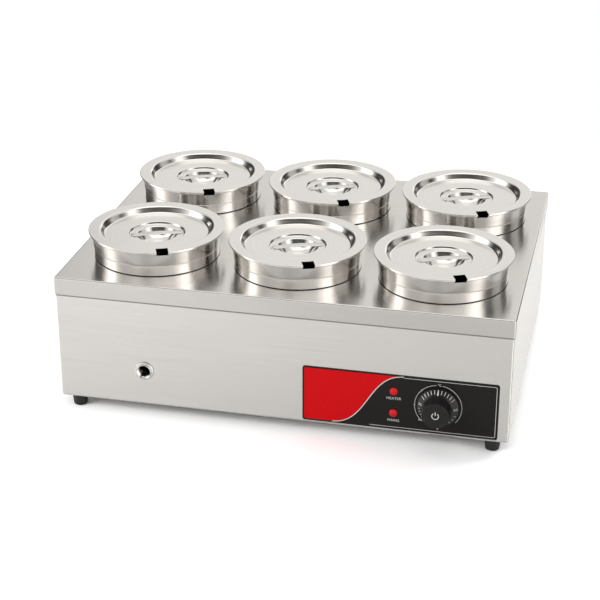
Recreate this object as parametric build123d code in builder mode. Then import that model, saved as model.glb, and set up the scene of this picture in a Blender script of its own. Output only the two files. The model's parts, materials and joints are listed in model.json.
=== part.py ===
"""Countertop wet bain-marie with six round pots under recessed-handle lids.

Millimetres, +Z up.  X runs along the front, Y from the front to the back, and
the origin is on the table, under the middle of the cover.
"""

from build123d import *
from math import cos, radians, sin
import os

os.makedirs("parts", exist_ok=True)

# Cover: the lift-off top plate with its skirt
cover_width = 735.0
cover_depth = 558.0
cover_sheet = 1.0
cover_bend = 2.5
cover_corner = 3.0
skirt_height = 30.0
cover_fit = 0.5
pot_hole_gap = 2.5

# Case: a front sheet and a shell behind it, a rear panel and a base plate
case_height = 211.0
case_sheet = 1.2
case_bend = 3.0
bottom_bend = 2.5
bottom_return = 30.0
top_return = 14.0
rear_return = 14.0
rear_panel_inset = 3.0
plate_fit = 0.3

# Feet
foot_height = 19.0
foot_top_diameter = 26.0
foot_bottom_diameter = 22.0
foot_side_inset = 26.0
foot_front_inset = 15.0
foot_bolt_diameter = 5.0
foot_head_diameter = 9.6
foot_head_height = 3.5
foot_pocket_diameter = 12.0
foot_pocket_depth = 8.0
foot_nut_across = 8.0
foot_nut_height = 4.0
bolt_clearance = 0.2
thread_gap = 0.05
bolt_end = 1.0

# Pots, in two rows of three
pot_diameter = 200.0
pot_height = 165.0
pot_sheet = 0.8
pot_corner = 8.0
pot_pitch_x = 236.5
pot_pitch_y = 272.6
pot_grid_shift = -6.0
pot_rim_above_cover = 44.0
band_height = 17.0
collar_seam_below_band = 1.0
shoulder_step = 1.6
shoulder_rise = 2.0
shoulder_bend = 2.0
flare_diameter = 209.6
rim_bead = 4.4

# Lids
lid_diameter = 222.0
lid_sheet = 1.0
lid_hem = 1.6
hem_width = 1.5
lid_step_outer = 182.0
lid_step_inner = 173.0
lid_drop = 10.0
dish_diameter = 92.0
ledge_outer = 88.0
ledge_inner = 66.0
ledge_drop = 3.0
bowl_floor_diameter = 40.0
bowl_depth = 16.0
lid_bend = 2.0
bowl_bend = 6.0
notch_width = 19.0
notch_inner_radius = 91.0
notch_angle = -68.0
rim_cut_depth = 7.0
strap_width = 13.0
strap_thickness = 1.2
strap_reach = 42.5
strap_pad = 6.0
strap_rise = 1.5

# Water tank and its perforated false bottom
tank_width = 690.0
tank_front_gap = 30.5
tank_rear_gap = 41.5
tank_sheet = 1.0
tank_depth = 168.0
tank_corner = 20.0
tank_floor_bend = 4.0
shelf_sheet = 1.5
shelf_bend = 3.0
shelf_wall_gap = 12.0
shelf_window_margin = 16.0
shelf_hole_diameter = 28.0
shelf_hole_columns = 6
shelf_hole_rows = 4

# Drain
drain_x = -222.0
drain_bore = 19.0
drain_tube = 24.0
drain_above_floor = 18.4
drain_shoulder = 31.0
drain_shoulder_thickness = 3.0
drain_proud = 5.0
drain_fit = 0.3
rosette_diameter = 31.0
rosette_thickness = 3.0
rosette_round = 1.5
seal_diameter = 29.0
seal_thickness = 2.0
locknut_across = 30.0
locknut_thickness = 5.0

# Heating element
element_diameter = 8.4
element_height = 18.0
element_bend = 30.0
element_fit = 0.1
terminal_inner_x = 90.0
terminal_outer_x = 130.0
terminal_reach = 12.0
terminal_pin_diameter = 3.0
terminal_pin_length = 12.0
bush_diameter = 14.0
bush_flange = 20.0
bush_flange_thickness = 2.5
bush_nut_across = 19.0
bush_nut_thickness = 5.0

# Control panel
panel_width = 310.0
panel_height = 96.0
panel_thickness = 1.0
panel_corner = 4.0
panel_centre_x = 193.5
panel_below_cover = 159.0
dial_x = 254.5
lamp_x = 184.5
lamp_spread = 38.0

# Thermostat with its screws and sensor
thermostat_size = 44.0
thermostat_depth = 23.0
thermostat_corner = 4.0
shaft_diameter = 6.0
shaft_flat = 4.6
shaft_hole_diameter = 10.0
shaft_running_gap = 0.05
shaft_seat_depth = 12.0
shaft_reach = 20.0
fixing_spacing = 28.0
fixing_diameter = 4.0
fixing_head_diameter = 7.0
fixing_head_height = 1.8
fixing_depth = 8.0
pocket_x = 212.0
pocket_above_floor = 34.0
pocket_diameter = 10.0
pocket_bore = 7.0
pocket_length = 105.0
pocket_cap = 2.0
bulb_diameter = 6.4
bulb_length = 95.0
bulb_proud = 2.0
capillary_diameter = 1.8
capillary_bend = 6.0

# Knob
knob_gap = 1.0
knob_skirt_diameter = 65.0
knob_edge = 2.0
knob_grip_diameter = 46.0
knob_cap_diameter = 42.0
knob_cone_height = 10.0
knob_height = 31.0
knob_wall = 2.5
knob_hub_diameter = 12.0
knob_hub_recess = 1.0
knob_round = 1.5

# Indicator lamps
lamp_dome_diameter = 13.0
lamp_dome_height = 3.2
lamp_edge = 0.8
lamp_stem_diameter = 7.0
lamp_stem_length = 10.0
lamp_holder_diameter = 9.8
lamp_holder_depth = 18.0
lamp_holder_floor = 2.0
lamp_flange_diameter = 15.0
lamp_flange_thickness = 2.0
lamp_fit = 0.1

# Mains side: gland, terminal block, earth stud and wires
gland_x = 300.0
gland_above_base = 30.0
gland_bore = 9.0
gland_thread = 16.0
gland_collar_across = 20.0
gland_collar_thickness = 5.0
gland_cap_diameter = 18.0
gland_mouth_diameter = 13.0
gland_cap_shoulder = 16.0
gland_proud = 26.0
gland_inside = 10.0
gland_nut_across = 20.0
gland_nut_thickness = 4.0
block_x = 238.0
block_way_pitch = 12.0
block_width = 40.0
block_depth = 20.0
block_height = 16.0
block_rear_gap = 40.0
block_way_diameter = 5.0
block_way_depth = 12.0
wire_diameter = 3.0
wire_bend = 12.0
wire_front_gap = 11.0
neutral_turn_rear = -40.0
neutral_turn_front = -190.0
earth_run = 30.0
earth_stud_x = 190.0
earth_stud_diameter = 4.0
earth_stud_height = 14.0
earth_nut_across = 7.0
earth_nut_height = 3.2

# Rear panel screws and base plate vents
screw_diameter = 4.0
screw_head_diameter = 7.6
screw_head_height = 2.2
screw_length = 8.0
screw_below_skirt = 14.0
vent_length = 60.0
vent_width = 5.0
vent_pitch_x = 90.0
vent_pitch_y = 16.0
vent_columns = 4
vent_rows = 5

# Levels
case_bottom = foot_height
cover_top = case_bottom + case_height
cover_underside = cover_top - cover_sheet
case_top = cover_underside - tank_sheet
base_underside = case_bottom + case_sheet
base_top = base_underside + case_sheet
tank_floor = cover_underside - tank_depth
pot_top = cover_top + pot_rim_above_cover
pot_base = pot_top - pot_height
lid_top = pot_top + lid_sheet
disc_top = lid_top - lid_drop
ledge_top = disc_top - ledge_drop
bowl_floor = ledge_top - bowl_depth
shelf_top = pot_base
panel_z = cover_top - panel_below_cover
drain_z = tank_floor + drain_above_floor
element_z = tank_floor + element_height
pocket_z = tank_floor + pocket_above_floor
gland_z = base_top + gland_above_base
wire_z = base_top + block_height / 2

# Faces of the case and the tank
case_width = cover_width - 2 * (cover_sheet + cover_fit)
case_depth = cover_depth - 2 * (cover_sheet + cover_fit)
case_front = -case_depth / 2
case_rear = case_depth / 2
shell_rear = case_rear - case_sheet
inner_front = case_front + case_sheet
inner_rear = shell_rear - case_sheet
inner_width = case_width - 2 * case_sheet
inner_bend = case_bend - case_sheet
plate_margin = bottom_bend - case_sheet + plate_fit
flange_width = case_width - 2 * cover_bend
flange_depth = case_depth - 2 * cover_bend
tank_front = case_front + tank_front_gap
tank_rear = case_rear - tank_rear_gap
tank_length = tank_rear - tank_front
tank_middle = (tank_front + tank_rear) / 2
tank_inner_front = tank_front + tank_sheet
wall_bottom = tank_floor - tank_sheet + tank_floor_bend
panel_face = case_front - panel_thickness
knob_back = panel_face - knob_gap
block_front = inner_rear - block_rear_gap - block_depth
wire_front = inner_front + wire_front_gap

# Places that several pieces share
pot_centres = [
    (column * pot_pitch_x, pot_grid_shift + row * pot_pitch_y / 2)
    for row in (1, -1)
    for column in (-1, 0, 1)
]
foot_x = case_width / 2 - foot_side_inset
foot_y = case_depth / 2 - foot_front_inset
foot_places = {
    "front_left": (-foot_x, -foot_y),
    "front_right": (foot_x, -foot_y),
    "rear_left": (-foot_x, foot_y),
    "rear_right": (foot_x, foot_y),
}
lamp_heights = {
    "upper_lamp": panel_z + lamp_spread / 2,
    "lower_lamp": panel_z - lamp_spread / 2,
}
terminal_places = [(terminal_inner_x, element_z), (terminal_outer_x, element_z)]
side_screw_x = case_width / 2 - rear_return / 2
bottom_screw_z = case_bottom + rear_return / 2
side_screw_z = case_top - skirt_height - screw_below_skirt
screw_places = [
    (-side_screw_x, bottom_screw_z),
    (-side_screw_x / 3, bottom_screw_z),
    (side_screw_x / 3, bottom_screw_z),
    (side_screw_x, bottom_screw_z),
    (-side_screw_x, side_screw_z),
    (side_screw_x, side_screw_z),
]
earth_stud_y = block_front - earth_run


def upright(x, y, angle=0.0):
    """Vertical plane through (x, y): its X is a radius at the angle, its Y is height."""
    direction = (cos(radians(angle)), sin(radians(angle)), 0)
    return Plane(origin=(x, y, 0), x_dir=direction, z_dir=(direction[1], -direction[0], 0))


def level(x, y, z, angle=0.0):
    """Horizontal plane at (x, y, z), turned by the angle."""
    direction = (cos(radians(angle)), sin(radians(angle)), 0)
    return Plane(origin=(x, y, z), x_dir=direction, z_dir=(0, 0, 1))


def facing(y):
    """Plane parallel to the front at depth y, which extrudes towards the front."""
    return Plane(origin=(0, y, 0), x_dir=(1, 0, 0), z_dir=(0, -1, 0))


def lengthwise(x, z):
    """Horizontal plane on a Y axis at (x, z): its X is a radius, its Y is depth."""
    return Plane(origin=(x, 0, z), x_dir=(1, 0, 0), z_dir=(0, 0, 1))


def vertical_axis(x, y):
    """Axis along Z through (x, y)."""
    return Axis((x, y, 0), (0, 0, 1))


def depth_axis(x, z):
    """Axis along Y through (x, z)."""
    return Axis((x, 0, z), (0, 1, 0))


# Case shape: a box of sheet metal with its edges turned in, welded from the two pieces below
with BuildPart() as case_shape:
    with BuildSketch(Plane.XY.offset(case_bottom)):
        with Locations((0, (case_front + shell_rear) / 2)):
            RectangleRounded(case_width, shell_rear - case_front, case_bend)
    extrude(amount=case_top - case_bottom)
    fillet(case_shape.faces().sort_by(Axis.Z)[0].edges(), bottom_bend)
    offset(amount=-case_sheet, openings=case_shape.faces().sort_by(Axis.Z)[-1])
    with BuildSketch(Plane.XY.offset(case_bottom)):
        Rectangle(case_width - 2 * bottom_return, case_depth - 2 * bottom_return)
        for foot_centre in foot_places.values():
            with Locations(foot_centre):
                Circle(foot_bolt_diameter / 2 + bolt_clearance)
    extrude(amount=case_sheet, mode=Mode.SUBTRACT)
    with BuildSketch(Plane.XY.offset(case_top - case_sheet)):
        with Locations((0, (case_front + shell_rear) / 2)):
            RectangleRounded(case_width, shell_rear - case_front, case_bend)
        Rectangle(case_width - 2 * top_return, case_depth - 2 * top_return, mode=Mode.SUBTRACT)
    extrude(amount=case_sheet)
    with BuildSketch(facing(shell_rear)):
        with Locations((0, (case_bottom + case_top) / 2)):
            Rectangle(case_width - 2 * rear_return, case_top - case_bottom - 2 * rear_return)
        with Locations(*screw_places):
            Circle(screw_diameter / 2 + bolt_clearance)
    extrude(amount=case_sheet, mode=Mode.SUBTRACT)
    with BuildSketch(facing(inner_front)):
        with Locations(*[(lamp_x, z) for z in lamp_heights.values()]):
            Circle(lamp_holder_diameter / 2 + lamp_fit)
        with Locations((dial_x, panel_z)):
            Circle(shaft_hole_diameter / 2)
            with GridLocations(fixing_spacing, 0, 2, 1):
                Circle(fixing_diameter / 2 + bolt_clearance)
        with Locations((drain_x, drain_z)):
            Circle(drain_tube / 2 + drain_fit)
    extrude(amount=case_sheet, mode=Mode.SUBTRACT)

# Front sheet, bent round both corners
with BuildPart() as front_space:
    with BuildSketch(Plane.XY.offset(case_bottom)):
        with Locations((0, case_front + bottom_return / 2)):
            Rectangle(case_width, bottom_return)
    extrude(amount=case_top - case_bottom)
with BuildPart() as front_sheet:
    add(case_shape.part)
    add(front_space.part, mode=Mode.INTERSECT)
front_sheet.part.label = "front_sheet"
export_step(front_sheet.part, "parts/front_sheet.step")

# Body shell: both sides and the frame that carries the rear panel
with BuildPart() as body_shell:
    add(case_shape.part)
    add(front_space.part, mode=Mode.SUBTRACT)
body_shell.part.label = "body_shell"
export_step(body_shell.part, "parts/body_shell.step")

# Rear panel, screwed to the shell's in-turned edges
with BuildPart() as rear_panel:
    with BuildSketch(facing(case_rear)):
        with Locations((0, (case_bottom + case_top) / 2)):
            RectangleRounded(
                case_width - 2 * rear_panel_inset, case_top - case_bottom, case_bend
            )
        with Locations((gland_x, gland_z)):
            Circle(gland_thread / 2 + bolt_clearance, mode=Mode.SUBTRACT)
        with Locations(*screw_places):
            Circle(screw_diameter / 2 + bolt_clearance, mode=Mode.SUBTRACT)
    extrude(amount=case_sheet)
rear_panel.part.label = "rear_panel"
export_step(rear_panel.part, "parts/rear_panel.step")

# Rear panel screws: pan heads outside, shanks through panel and returns
with BuildPart() as rear_panel_screws:
    with BuildSketch(facing(case_rear + screw_head_height)):
        with Locations(*screw_places):
            Circle(screw_head_diameter / 2)
    extrude(amount=screw_head_height)
    with BuildSketch(facing(case_rear)):
        with Locations(*screw_places):
            Circle(screw_diameter / 2)
    extrude(amount=screw_length)
rear_panel_screws.part.label = "rear_panel_screws"
export_step(rear_panel_screws.part, "parts/rear_panel_screws.step")

# Base plate: it lies on the shell's bottom returns and has cooling slots
with BuildPart() as base_plate:
    with BuildSketch(Plane.XY.offset(base_underside)):
        with Locations((0, (inner_front + inner_rear) / 2)):
            RectangleRounded(
                inner_width - 2 * plate_margin,
                inner_rear - inner_front - 2 * plate_margin,
                inner_bend,
            )
        with GridLocations(vent_pitch_x, vent_pitch_y, vent_columns, vent_rows):
            SlotOverall(vent_length, vent_width, mode=Mode.SUBTRACT)
        for foot_centre in foot_places.values():
            with Locations(foot_centre):
                Circle(foot_bolt_diameter / 2 + bolt_clearance, mode=Mode.SUBTRACT)
    extrude(amount=case_sheet)
base_plate.part.label = "base_plate"
export_step(base_plate.part, "parts/base_plate.step")

# Feet: tapered rubber with a pocket for the bolt head
for place, (x, y) in foot_places.items():
    with BuildPart() as foot:
        with BuildSketch(upright(x, y)):
            with BuildLine():
                Polyline(
                    (foot_bolt_diameter / 2 + bolt_clearance, foot_pocket_depth),
                    (foot_pocket_diameter / 2, foot_pocket_depth),
                    (foot_pocket_diameter / 2, 0),
                    (foot_bottom_diameter / 2, 0),
                    (foot_top_diameter / 2, foot_height),
                    (foot_bolt_diameter / 2 + bolt_clearance, foot_height),
                    close=True,
                )
            make_face()
        revolve(axis=vertical_axis(x, y))
    foot.part.label = f"foot_{place}"
    export_step(foot.part, f"parts/foot_{place}.step")

# Foot bolts, up through foot, shell and base plate
with BuildPart() as foot_bolts:
    for x, y in foot_places.values():
        with BuildSketch(level(x, y, foot_pocket_depth - foot_head_height)):
            Circle(foot_head_diameter / 2)
        extrude(amount=foot_head_height)
        with BuildSketch(level(x, y, foot_pocket_depth)):
            Circle(foot_bolt_diameter / 2)
        extrude(amount=base_top + foot_nut_height + bolt_end - foot_pocket_depth)
foot_bolts.part.label = "foot_bolts"
export_step(foot_bolts.part, "parts/foot_bolts.step")

with BuildPart() as foot_nuts:
    for x, y in foot_places.values():
        with BuildSketch(level(x, y, base_top)):
            RegularPolygon(foot_nut_across / 2, 6, major_radius=False)
            Circle(foot_bolt_diameter / 2 + thread_gap, mode=Mode.SUBTRACT)
        extrude(amount=foot_nut_height)
foot_nuts.part.label = "foot_nuts"
export_step(foot_nuts.part, "parts/foot_nuts.step")

# Tank shape: an open tub, welded from the two pieces below
with BuildPart() as tank_shape:
    with BuildSketch(level(0, tank_middle, tank_floor - tank_sheet)):
        RectangleRounded(tank_width, tank_length, tank_corner)
    extrude(amount=tank_depth + tank_sheet)
    fillet(tank_shape.faces().sort_by(Axis.Z)[0].edges(), tank_floor_bend)
    offset(amount=-tank_sheet, openings=tank_shape.faces().sort_by(Axis.Z)[-1])
    with BuildSketch(facing(tank_inner_front)):
        with Locations((drain_x, drain_z)):
            Circle(drain_tube / 2 + drain_fit)
        with Locations(*terminal_places):
            Circle(bush_diameter / 2 + element_fit)
        with Locations((pocket_x, pocket_z)):
            Circle(pocket_diameter / 2 + element_fit)
    extrude(amount=tank_sheet, mode=Mode.SUBTRACT)

# Tank front wall: flat, with the holes for the drain, the element and the sensor
with BuildPart() as wall_space:
    with BuildSketch(facing(tank_inner_front)):
        with Locations((0, (wall_bottom + cover_underside) / 2)):
            Rectangle(tank_width - 2 * tank_corner, cover_underside - wall_bottom)
    extrude(amount=tank_sheet)
with BuildPart() as tank_front_wall:
    add(tank_shape.part)
    add(wall_space.part, mode=Mode.INTERSECT)
tank_front_wall.part.label = "tank_front_wall"
export_step(tank_front_wall.part, "parts/tank_front_wall.step")

# Water tank: floor, sides and back
with BuildPart() as water_tank:
    add(tank_shape.part)
    add(wall_space.part, mode=Mode.SUBTRACT)
water_tank.part.label = "water_tank"
export_step(water_tank.part, "parts/water_tank.step")

# Tank flange: strips and corner plates butt-welded round the tub's mouth, under the cover
with BuildPart() as tank_flange:
    with BuildSketch(Plane.XY.offset(case_top)):
        RectangleRounded(flange_width, flange_depth, case_bend)
        with Locations((0, tank_middle)):
            RectangleRounded(tank_width, tank_length, tank_corner, mode=Mode.SUBTRACT)
    extrude(amount=tank_sheet)
    for seam_x in (tank_corner - tank_width / 2, tank_width / 2 - tank_corner):
        split(bisect_by=Plane.YZ.offset(seam_x), keep=Keep.BOTH)
    for seam_y in (tank_front + tank_corner, tank_rear - tank_corner):
        split(bisect_by=Plane(origin=(0, seam_y, 0), z_dir=(0, 1, 0)), keep=Keep.BOTH)
tank_flange.part.label = "tank_flange"
export_step(tank_flange.part, "parts/tank_flange.step")

# False bottom: a perforated shelf folded down at front and back to stand in the tank
shelf_width = tank_width - 2 * (tank_sheet + shelf_wall_gap)
shelf_length = tank_length - 2 * (tank_sheet + shelf_wall_gap)
shelf_front = tank_middle - shelf_length / 2
shelf_height = shelf_top - tank_floor
window_left = terminal_inner_x - shelf_window_margin
window_right = pocket_x + shelf_window_margin
window_top = pocket_z + pocket_diameter / 2 + shelf_sheet
with BuildPart() as false_bottom:
    with BuildSketch(Plane.YZ.offset(-shelf_width / 2)) as shelf_section:
        with Locations((tank_middle, tank_floor + shelf_height / 2)):
            Rectangle(shelf_length, shelf_height)
        fillet(shelf_section.vertices().group_by(Axis.Z)[-1], shelf_bend)
        with Locations((tank_middle, tank_floor + (shelf_height - shelf_sheet) / 2)):
            Rectangle(
                shelf_length - 2 * shelf_sheet, shelf_height - shelf_sheet, mode=Mode.SUBTRACT
            )
    extrude(amount=shelf_width)
    with BuildSketch(level(0, tank_middle, shelf_top - shelf_sheet)):
        with GridLocations(
            shelf_width / shelf_hole_columns,
            shelf_length / shelf_hole_rows,
            shelf_hole_columns,
            shelf_hole_rows,
        ):
            Circle(shelf_hole_diameter / 2)
    extrude(amount=shelf_sheet, mode=Mode.SUBTRACT)
    with BuildSketch(facing(shelf_front + shelf_sheet)):
        with Locations(((window_left + window_right) / 2, (tank_floor + window_top) / 2)):
            Rectangle(window_right - window_left, window_top - tank_floor)
        with Locations((drain_x, (tank_floor + window_top) / 2)):
            Rectangle(drain_shoulder + 2 * shelf_window_margin, window_top - tank_floor)
    extrude(amount=shelf_sheet, mode=Mode.SUBTRACT)
false_bottom.part.label = "false_bottom"
export_step(false_bottom.part, "parts/false_bottom.step")

# Heating element: one bent tube under the shelf, with both ends out at the front
element_start = tank_front - terminal_reach
element_left = -tank_width / 2 + shelf_wall_gap + element_bend
element_right = -element_left
with BuildPart() as heating_element:
    with BuildLine(Plane.XY.offset(element_z)) as element_path:
        FilletPolyline(
            (terminal_inner_x, element_start),
            (terminal_inner_x, tank_front + 1.4 * element_bend),
            (element_left, tank_front + 1.4 * element_bend),
            (element_left, tank_rear - 1.7 * element_bend),
            (element_right, tank_rear - 1.7 * element_bend),
            (element_right, tank_front + 3.9 * element_bend),
            (element_right - 2.4 * element_bend, tank_front + 3.9 * element_bend),
            (element_right - 2.4 * element_bend, tank_middle + 2.2 * element_bend),
            (element_left + 3.4 * element_bend, tank_middle + 2.2 * element_bend),
            (element_left + 3.4 * element_bend, tank_middle - 2.2 * element_bend),
            (terminal_outer_x, tank_middle - 2.2 * element_bend),
            (terminal_outer_x, element_start),
            radius=element_bend,
        )
    with BuildSketch(Plane(element_path.line @ 0, z_dir=element_path.line % 0)):
        Circle(element_diameter / 2)
    sweep(path=element_path.line)
    with BuildSketch(facing(element_start)):
        with Locations(*terminal_places):
            Circle(terminal_pin_diameter / 2)
    extrude(amount=terminal_pin_length)
heating_element.part.label = "heating_element"
export_step(heating_element.part, "parts/heating_element.step")

# Terminal bushes: flanged inside the tank, held by nuts outside it
bush_front = tank_front - bush_nut_thickness - bolt_end
with BuildPart() as element_bushes:
    with BuildSketch(facing(tank_inner_front + bush_flange_thickness)):
        with Locations(*terminal_places):
            Circle(bush_flange / 2)
    extrude(amount=bush_flange_thickness)
    with BuildSketch(facing(tank_inner_front)):
        with Locations(*terminal_places):
            Circle(bush_diameter / 2)
    extrude(amount=tank_inner_front - bush_front)
    with BuildSketch(facing(tank_inner_front + bush_flange_thickness)):
        with Locations(*terminal_places):
            Circle(element_diameter / 2 + element_fit)
    extrude(amount=tank_inner_front + bush_flange_thickness - bush_front, mode=Mode.SUBTRACT)
element_bushes.part.label = "element_bushes"
export_step(element_bushes.part, "parts/element_bushes.step")

with BuildPart() as element_nuts:
    with BuildSketch(facing(tank_front)):
        with Locations(*terminal_places):
            RegularPolygon(bush_nut_across / 2, 6, major_radius=False)
            Circle(bush_diameter / 2 + thread_gap, mode=Mode.SUBTRACT)
    extrude(amount=bush_nut_thickness)
element_nuts.part.label = "element_nuts"
export_step(element_nuts.part, "parts/element_nuts.step")

# Drain outlet: a tapped stub through the tank wall and the case front
drain_mouth = case_front - drain_proud
locknut_front = tank_inner_front + seal_thickness
drain_inner_end = locknut_front + locknut_thickness + bolt_end
with BuildPart() as drain_outlet:
    with BuildSketch(lengthwise(drain_x, drain_z)):
        with BuildLine():
            Polyline(
                (drain_bore / 2, drain_mouth),
                (drain_tube / 2, drain_mouth),
                (drain_tube / 2, tank_front - drain_shoulder_thickness),
                (drain_shoulder / 2, tank_front - drain_shoulder_thickness),
                (drain_shoulder / 2, tank_front),
                (drain_tube / 2, tank_front),
                (drain_tube / 2, drain_inner_end),
                (drain_bore / 2, drain_inner_end),
                close=True,
            )
        make_face()
    revolve(axis=depth_axis(drain_x, drain_z))
drain_outlet.part.label = "drain_outlet"
export_step(drain_outlet.part, "parts/drain_outlet.step")

with BuildPart() as drain_rosette:
    with BuildSketch(facing(case_front)):
        with Locations((drain_x, drain_z)):
            Circle(rosette_diameter / 2)
            Circle(drain_tube / 2 + thread_gap, mode=Mode.SUBTRACT)
    extrude(amount=rosette_thickness)
    rosette_rims = drain_rosette.edges().filter_by(GeomType.CIRCLE).group_by(Axis.Y)[0]
    fillet(rosette_rims.sort_by(SortBy.RADIUS)[-1], rosette_round)
drain_rosette.part.label = "drain_rosette"
export_step(drain_rosette.part, "parts/drain_rosette.step")

with BuildPart() as drain_seal:
    with BuildSketch(facing(locknut_front)):
        with Locations((drain_x, drain_z)):
            Circle(seal_diameter / 2)
            Circle(drain_tube / 2 + thread_gap, mode=Mode.SUBTRACT)
    extrude(amount=seal_thickness)
drain_seal.part.label = "drain_seal"
export_step(drain_seal.part, "parts/drain_seal.step")

with BuildPart() as drain_locknut:
    with BuildSketch(facing(locknut_front + locknut_thickness)):
        with Locations((drain_x, drain_z)):
            RegularPolygon(locknut_across / 2, 6, major_radius=False)
            Circle(drain_tube / 2 + thread_gap, mode=Mode.SUBTRACT)
    extrude(amount=locknut_thickness)
drain_locknut.part.label = "drain_locknut"
export_step(drain_locknut.part, "parts/drain_locknut.step")

# Control panel plate on the case front
with BuildPart() as control_panel:
    with BuildSketch(facing(case_front)):
        with Locations((panel_centre_x, panel_z)):
            RectangleRounded(panel_width, panel_height, panel_corner)
        with Locations(*[(lamp_x, z) for z in lamp_heights.values()]):
            Circle(lamp_holder_diameter / 2 + lamp_fit, mode=Mode.SUBTRACT)
        with Locations((dial_x, panel_z)):
            Circle(shaft_hole_diameter / 2, mode=Mode.SUBTRACT)
            with GridLocations(fixing_spacing, 0, 2, 1):
                Circle(fixing_diameter / 2 + bolt_clearance, mode=Mode.SUBTRACT)
    extrude(amount=panel_thickness)
control_panel.part.label = "control_panel"
export_step(control_panel.part, "parts/control_panel.step")

# Indicator lamps: a domed lens plugged into a holder that passes the case front
dome_height = lamp_dome_height - lamp_edge
dome_radius = ((lamp_dome_diameter / 2) ** 2 + dome_height**2) / (2 * dome_height)
for lamp, z in lamp_heights.items():
    with BuildPart() as lens:
        with BuildSketch(lengthwise(lamp_x, z)):
            with BuildLine():
                RadiusArc(
                    (0, panel_face - lamp_dome_height),
                    (lamp_dome_diameter / 2, panel_face - lamp_edge),
                    -dome_radius,
                )
                Polyline(
                    (lamp_dome_diameter / 2, panel_face - lamp_edge),
                    (lamp_dome_diameter / 2, panel_face),
                    (lamp_stem_diameter / 2, panel_face),
                    (lamp_stem_diameter / 2, panel_face + lamp_stem_length),
                    (0, panel_face + lamp_stem_length),
                    (0, panel_face - lamp_dome_height),
                )
            make_face()
        revolve(axis=depth_axis(lamp_x, z))
    lens.part.label = f"{lamp}_lens"
    export_step(lens.part, f"parts/{lamp}_lens.step")

    with BuildPart() as holder:
        with BuildSketch(lengthwise(lamp_x, z)):
            with BuildLine():
                Polyline(
                    (lamp_stem_diameter / 2 + lamp_fit, panel_face),
                    (lamp_holder_diameter / 2, panel_face),
                    (lamp_holder_diameter / 2, inner_front),
                    (lamp_flange_diameter / 2, inner_front),
                    (lamp_flange_diameter / 2, inner_front + lamp_flange_thickness),
                    (lamp_holder_diameter / 2, inner_front + lamp_flange_thickness),
                    (lamp_holder_diameter / 2, panel_face + lamp_holder_depth),
                    (0, panel_face + lamp_holder_depth),
                    (0, panel_face + lamp_holder_depth - lamp_holder_floor),
                    (
                        lamp_stem_diameter / 2 + lamp_fit,
                        panel_face + lamp_holder_depth - lamp_holder_floor,
                    ),
                    close=True,
                )
            make_face()
        revolve(axis=depth_axis(lamp_x, z))
    holder.part.label = f"{lamp}_holder"
    export_step(holder.part, f"parts/{lamp}_holder.step")

# Thermostat body behind the panel
with BuildPart() as thermostat_body:
    with BuildSketch(facing(inner_front + thermostat_depth)):
        with Locations((dial_x, panel_z)):
            RectangleRounded(thermostat_size, thermostat_size, thermostat_corner)
    extrude(amount=thermostat_depth)
    with BuildSketch(facing(inner_front + shaft_seat_depth)):
        with Locations((dial_x, panel_z)):
            Circle(shaft_diameter / 2 + shaft_running_gap)
    extrude(amount=shaft_seat_depth, mode=Mode.SUBTRACT)
    with BuildSketch(facing(inner_front + fixing_depth)):
        with Locations((dial_x, panel_z)):
            with GridLocations(fixing_spacing, 0, 2, 1):
                Circle(fixing_diameter / 2 + thread_gap)
    extrude(amount=fixing_depth, mode=Mode.SUBTRACT)
thermostat_body.part.label = "thermostat_body"
export_step(thermostat_body.part, "parts/thermostat_body.step")

with BuildPart() as thermostat_screws:
    with BuildSketch(facing(panel_face)):
        with Locations((dial_x, panel_z)):
            with GridLocations(fixing_spacing, 0, 2, 1):
                Circle(fixing_head_diameter / 2)
    extrude(amount=fixing_head_height)
    with BuildSketch(facing(inner_front + fixing_depth - bolt_end)):
        with Locations((dial_x, panel_z)):
            with GridLocations(fixing_spacing, 0, 2, 1):
                Circle(fixing_diameter / 2)
    extrude(amount=inner_front + fixing_depth - bolt_end - panel_face)
thermostat_screws.part.label = "thermostat_screws"
export_step(thermostat_screws.part, "parts/thermostat_screws.step")

# Thermostat shaft: round in its seat, flattened where the knob grips it
shaft_end = panel_face - shaft_reach
flat_offset = shaft_flat - shaft_diameter / 2
with BuildPart() as thermostat_shaft:
    with BuildSketch(facing(inner_front + shaft_seat_depth - bolt_end)):
        with Locations((dial_x, panel_z)):
            Circle(shaft_diameter / 2)
    extrude(amount=inner_front + shaft_seat_depth - bolt_end - knob_back)
    with BuildSketch(facing(knob_back)):
        with Locations((dial_x, panel_z)):
            Circle(shaft_diameter / 2)
        with Locations((dial_x, panel_z + flat_offset + shaft_diameter / 2)):
            Rectangle(2 * shaft_diameter, shaft_diameter, mode=Mode.SUBTRACT)
    extrude(amount=knob_back - shaft_end)
thermostat_shaft.part.label = "thermostat_shaft"
export_step(thermostat_shaft.part, "parts/thermostat_shaft.step")

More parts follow.
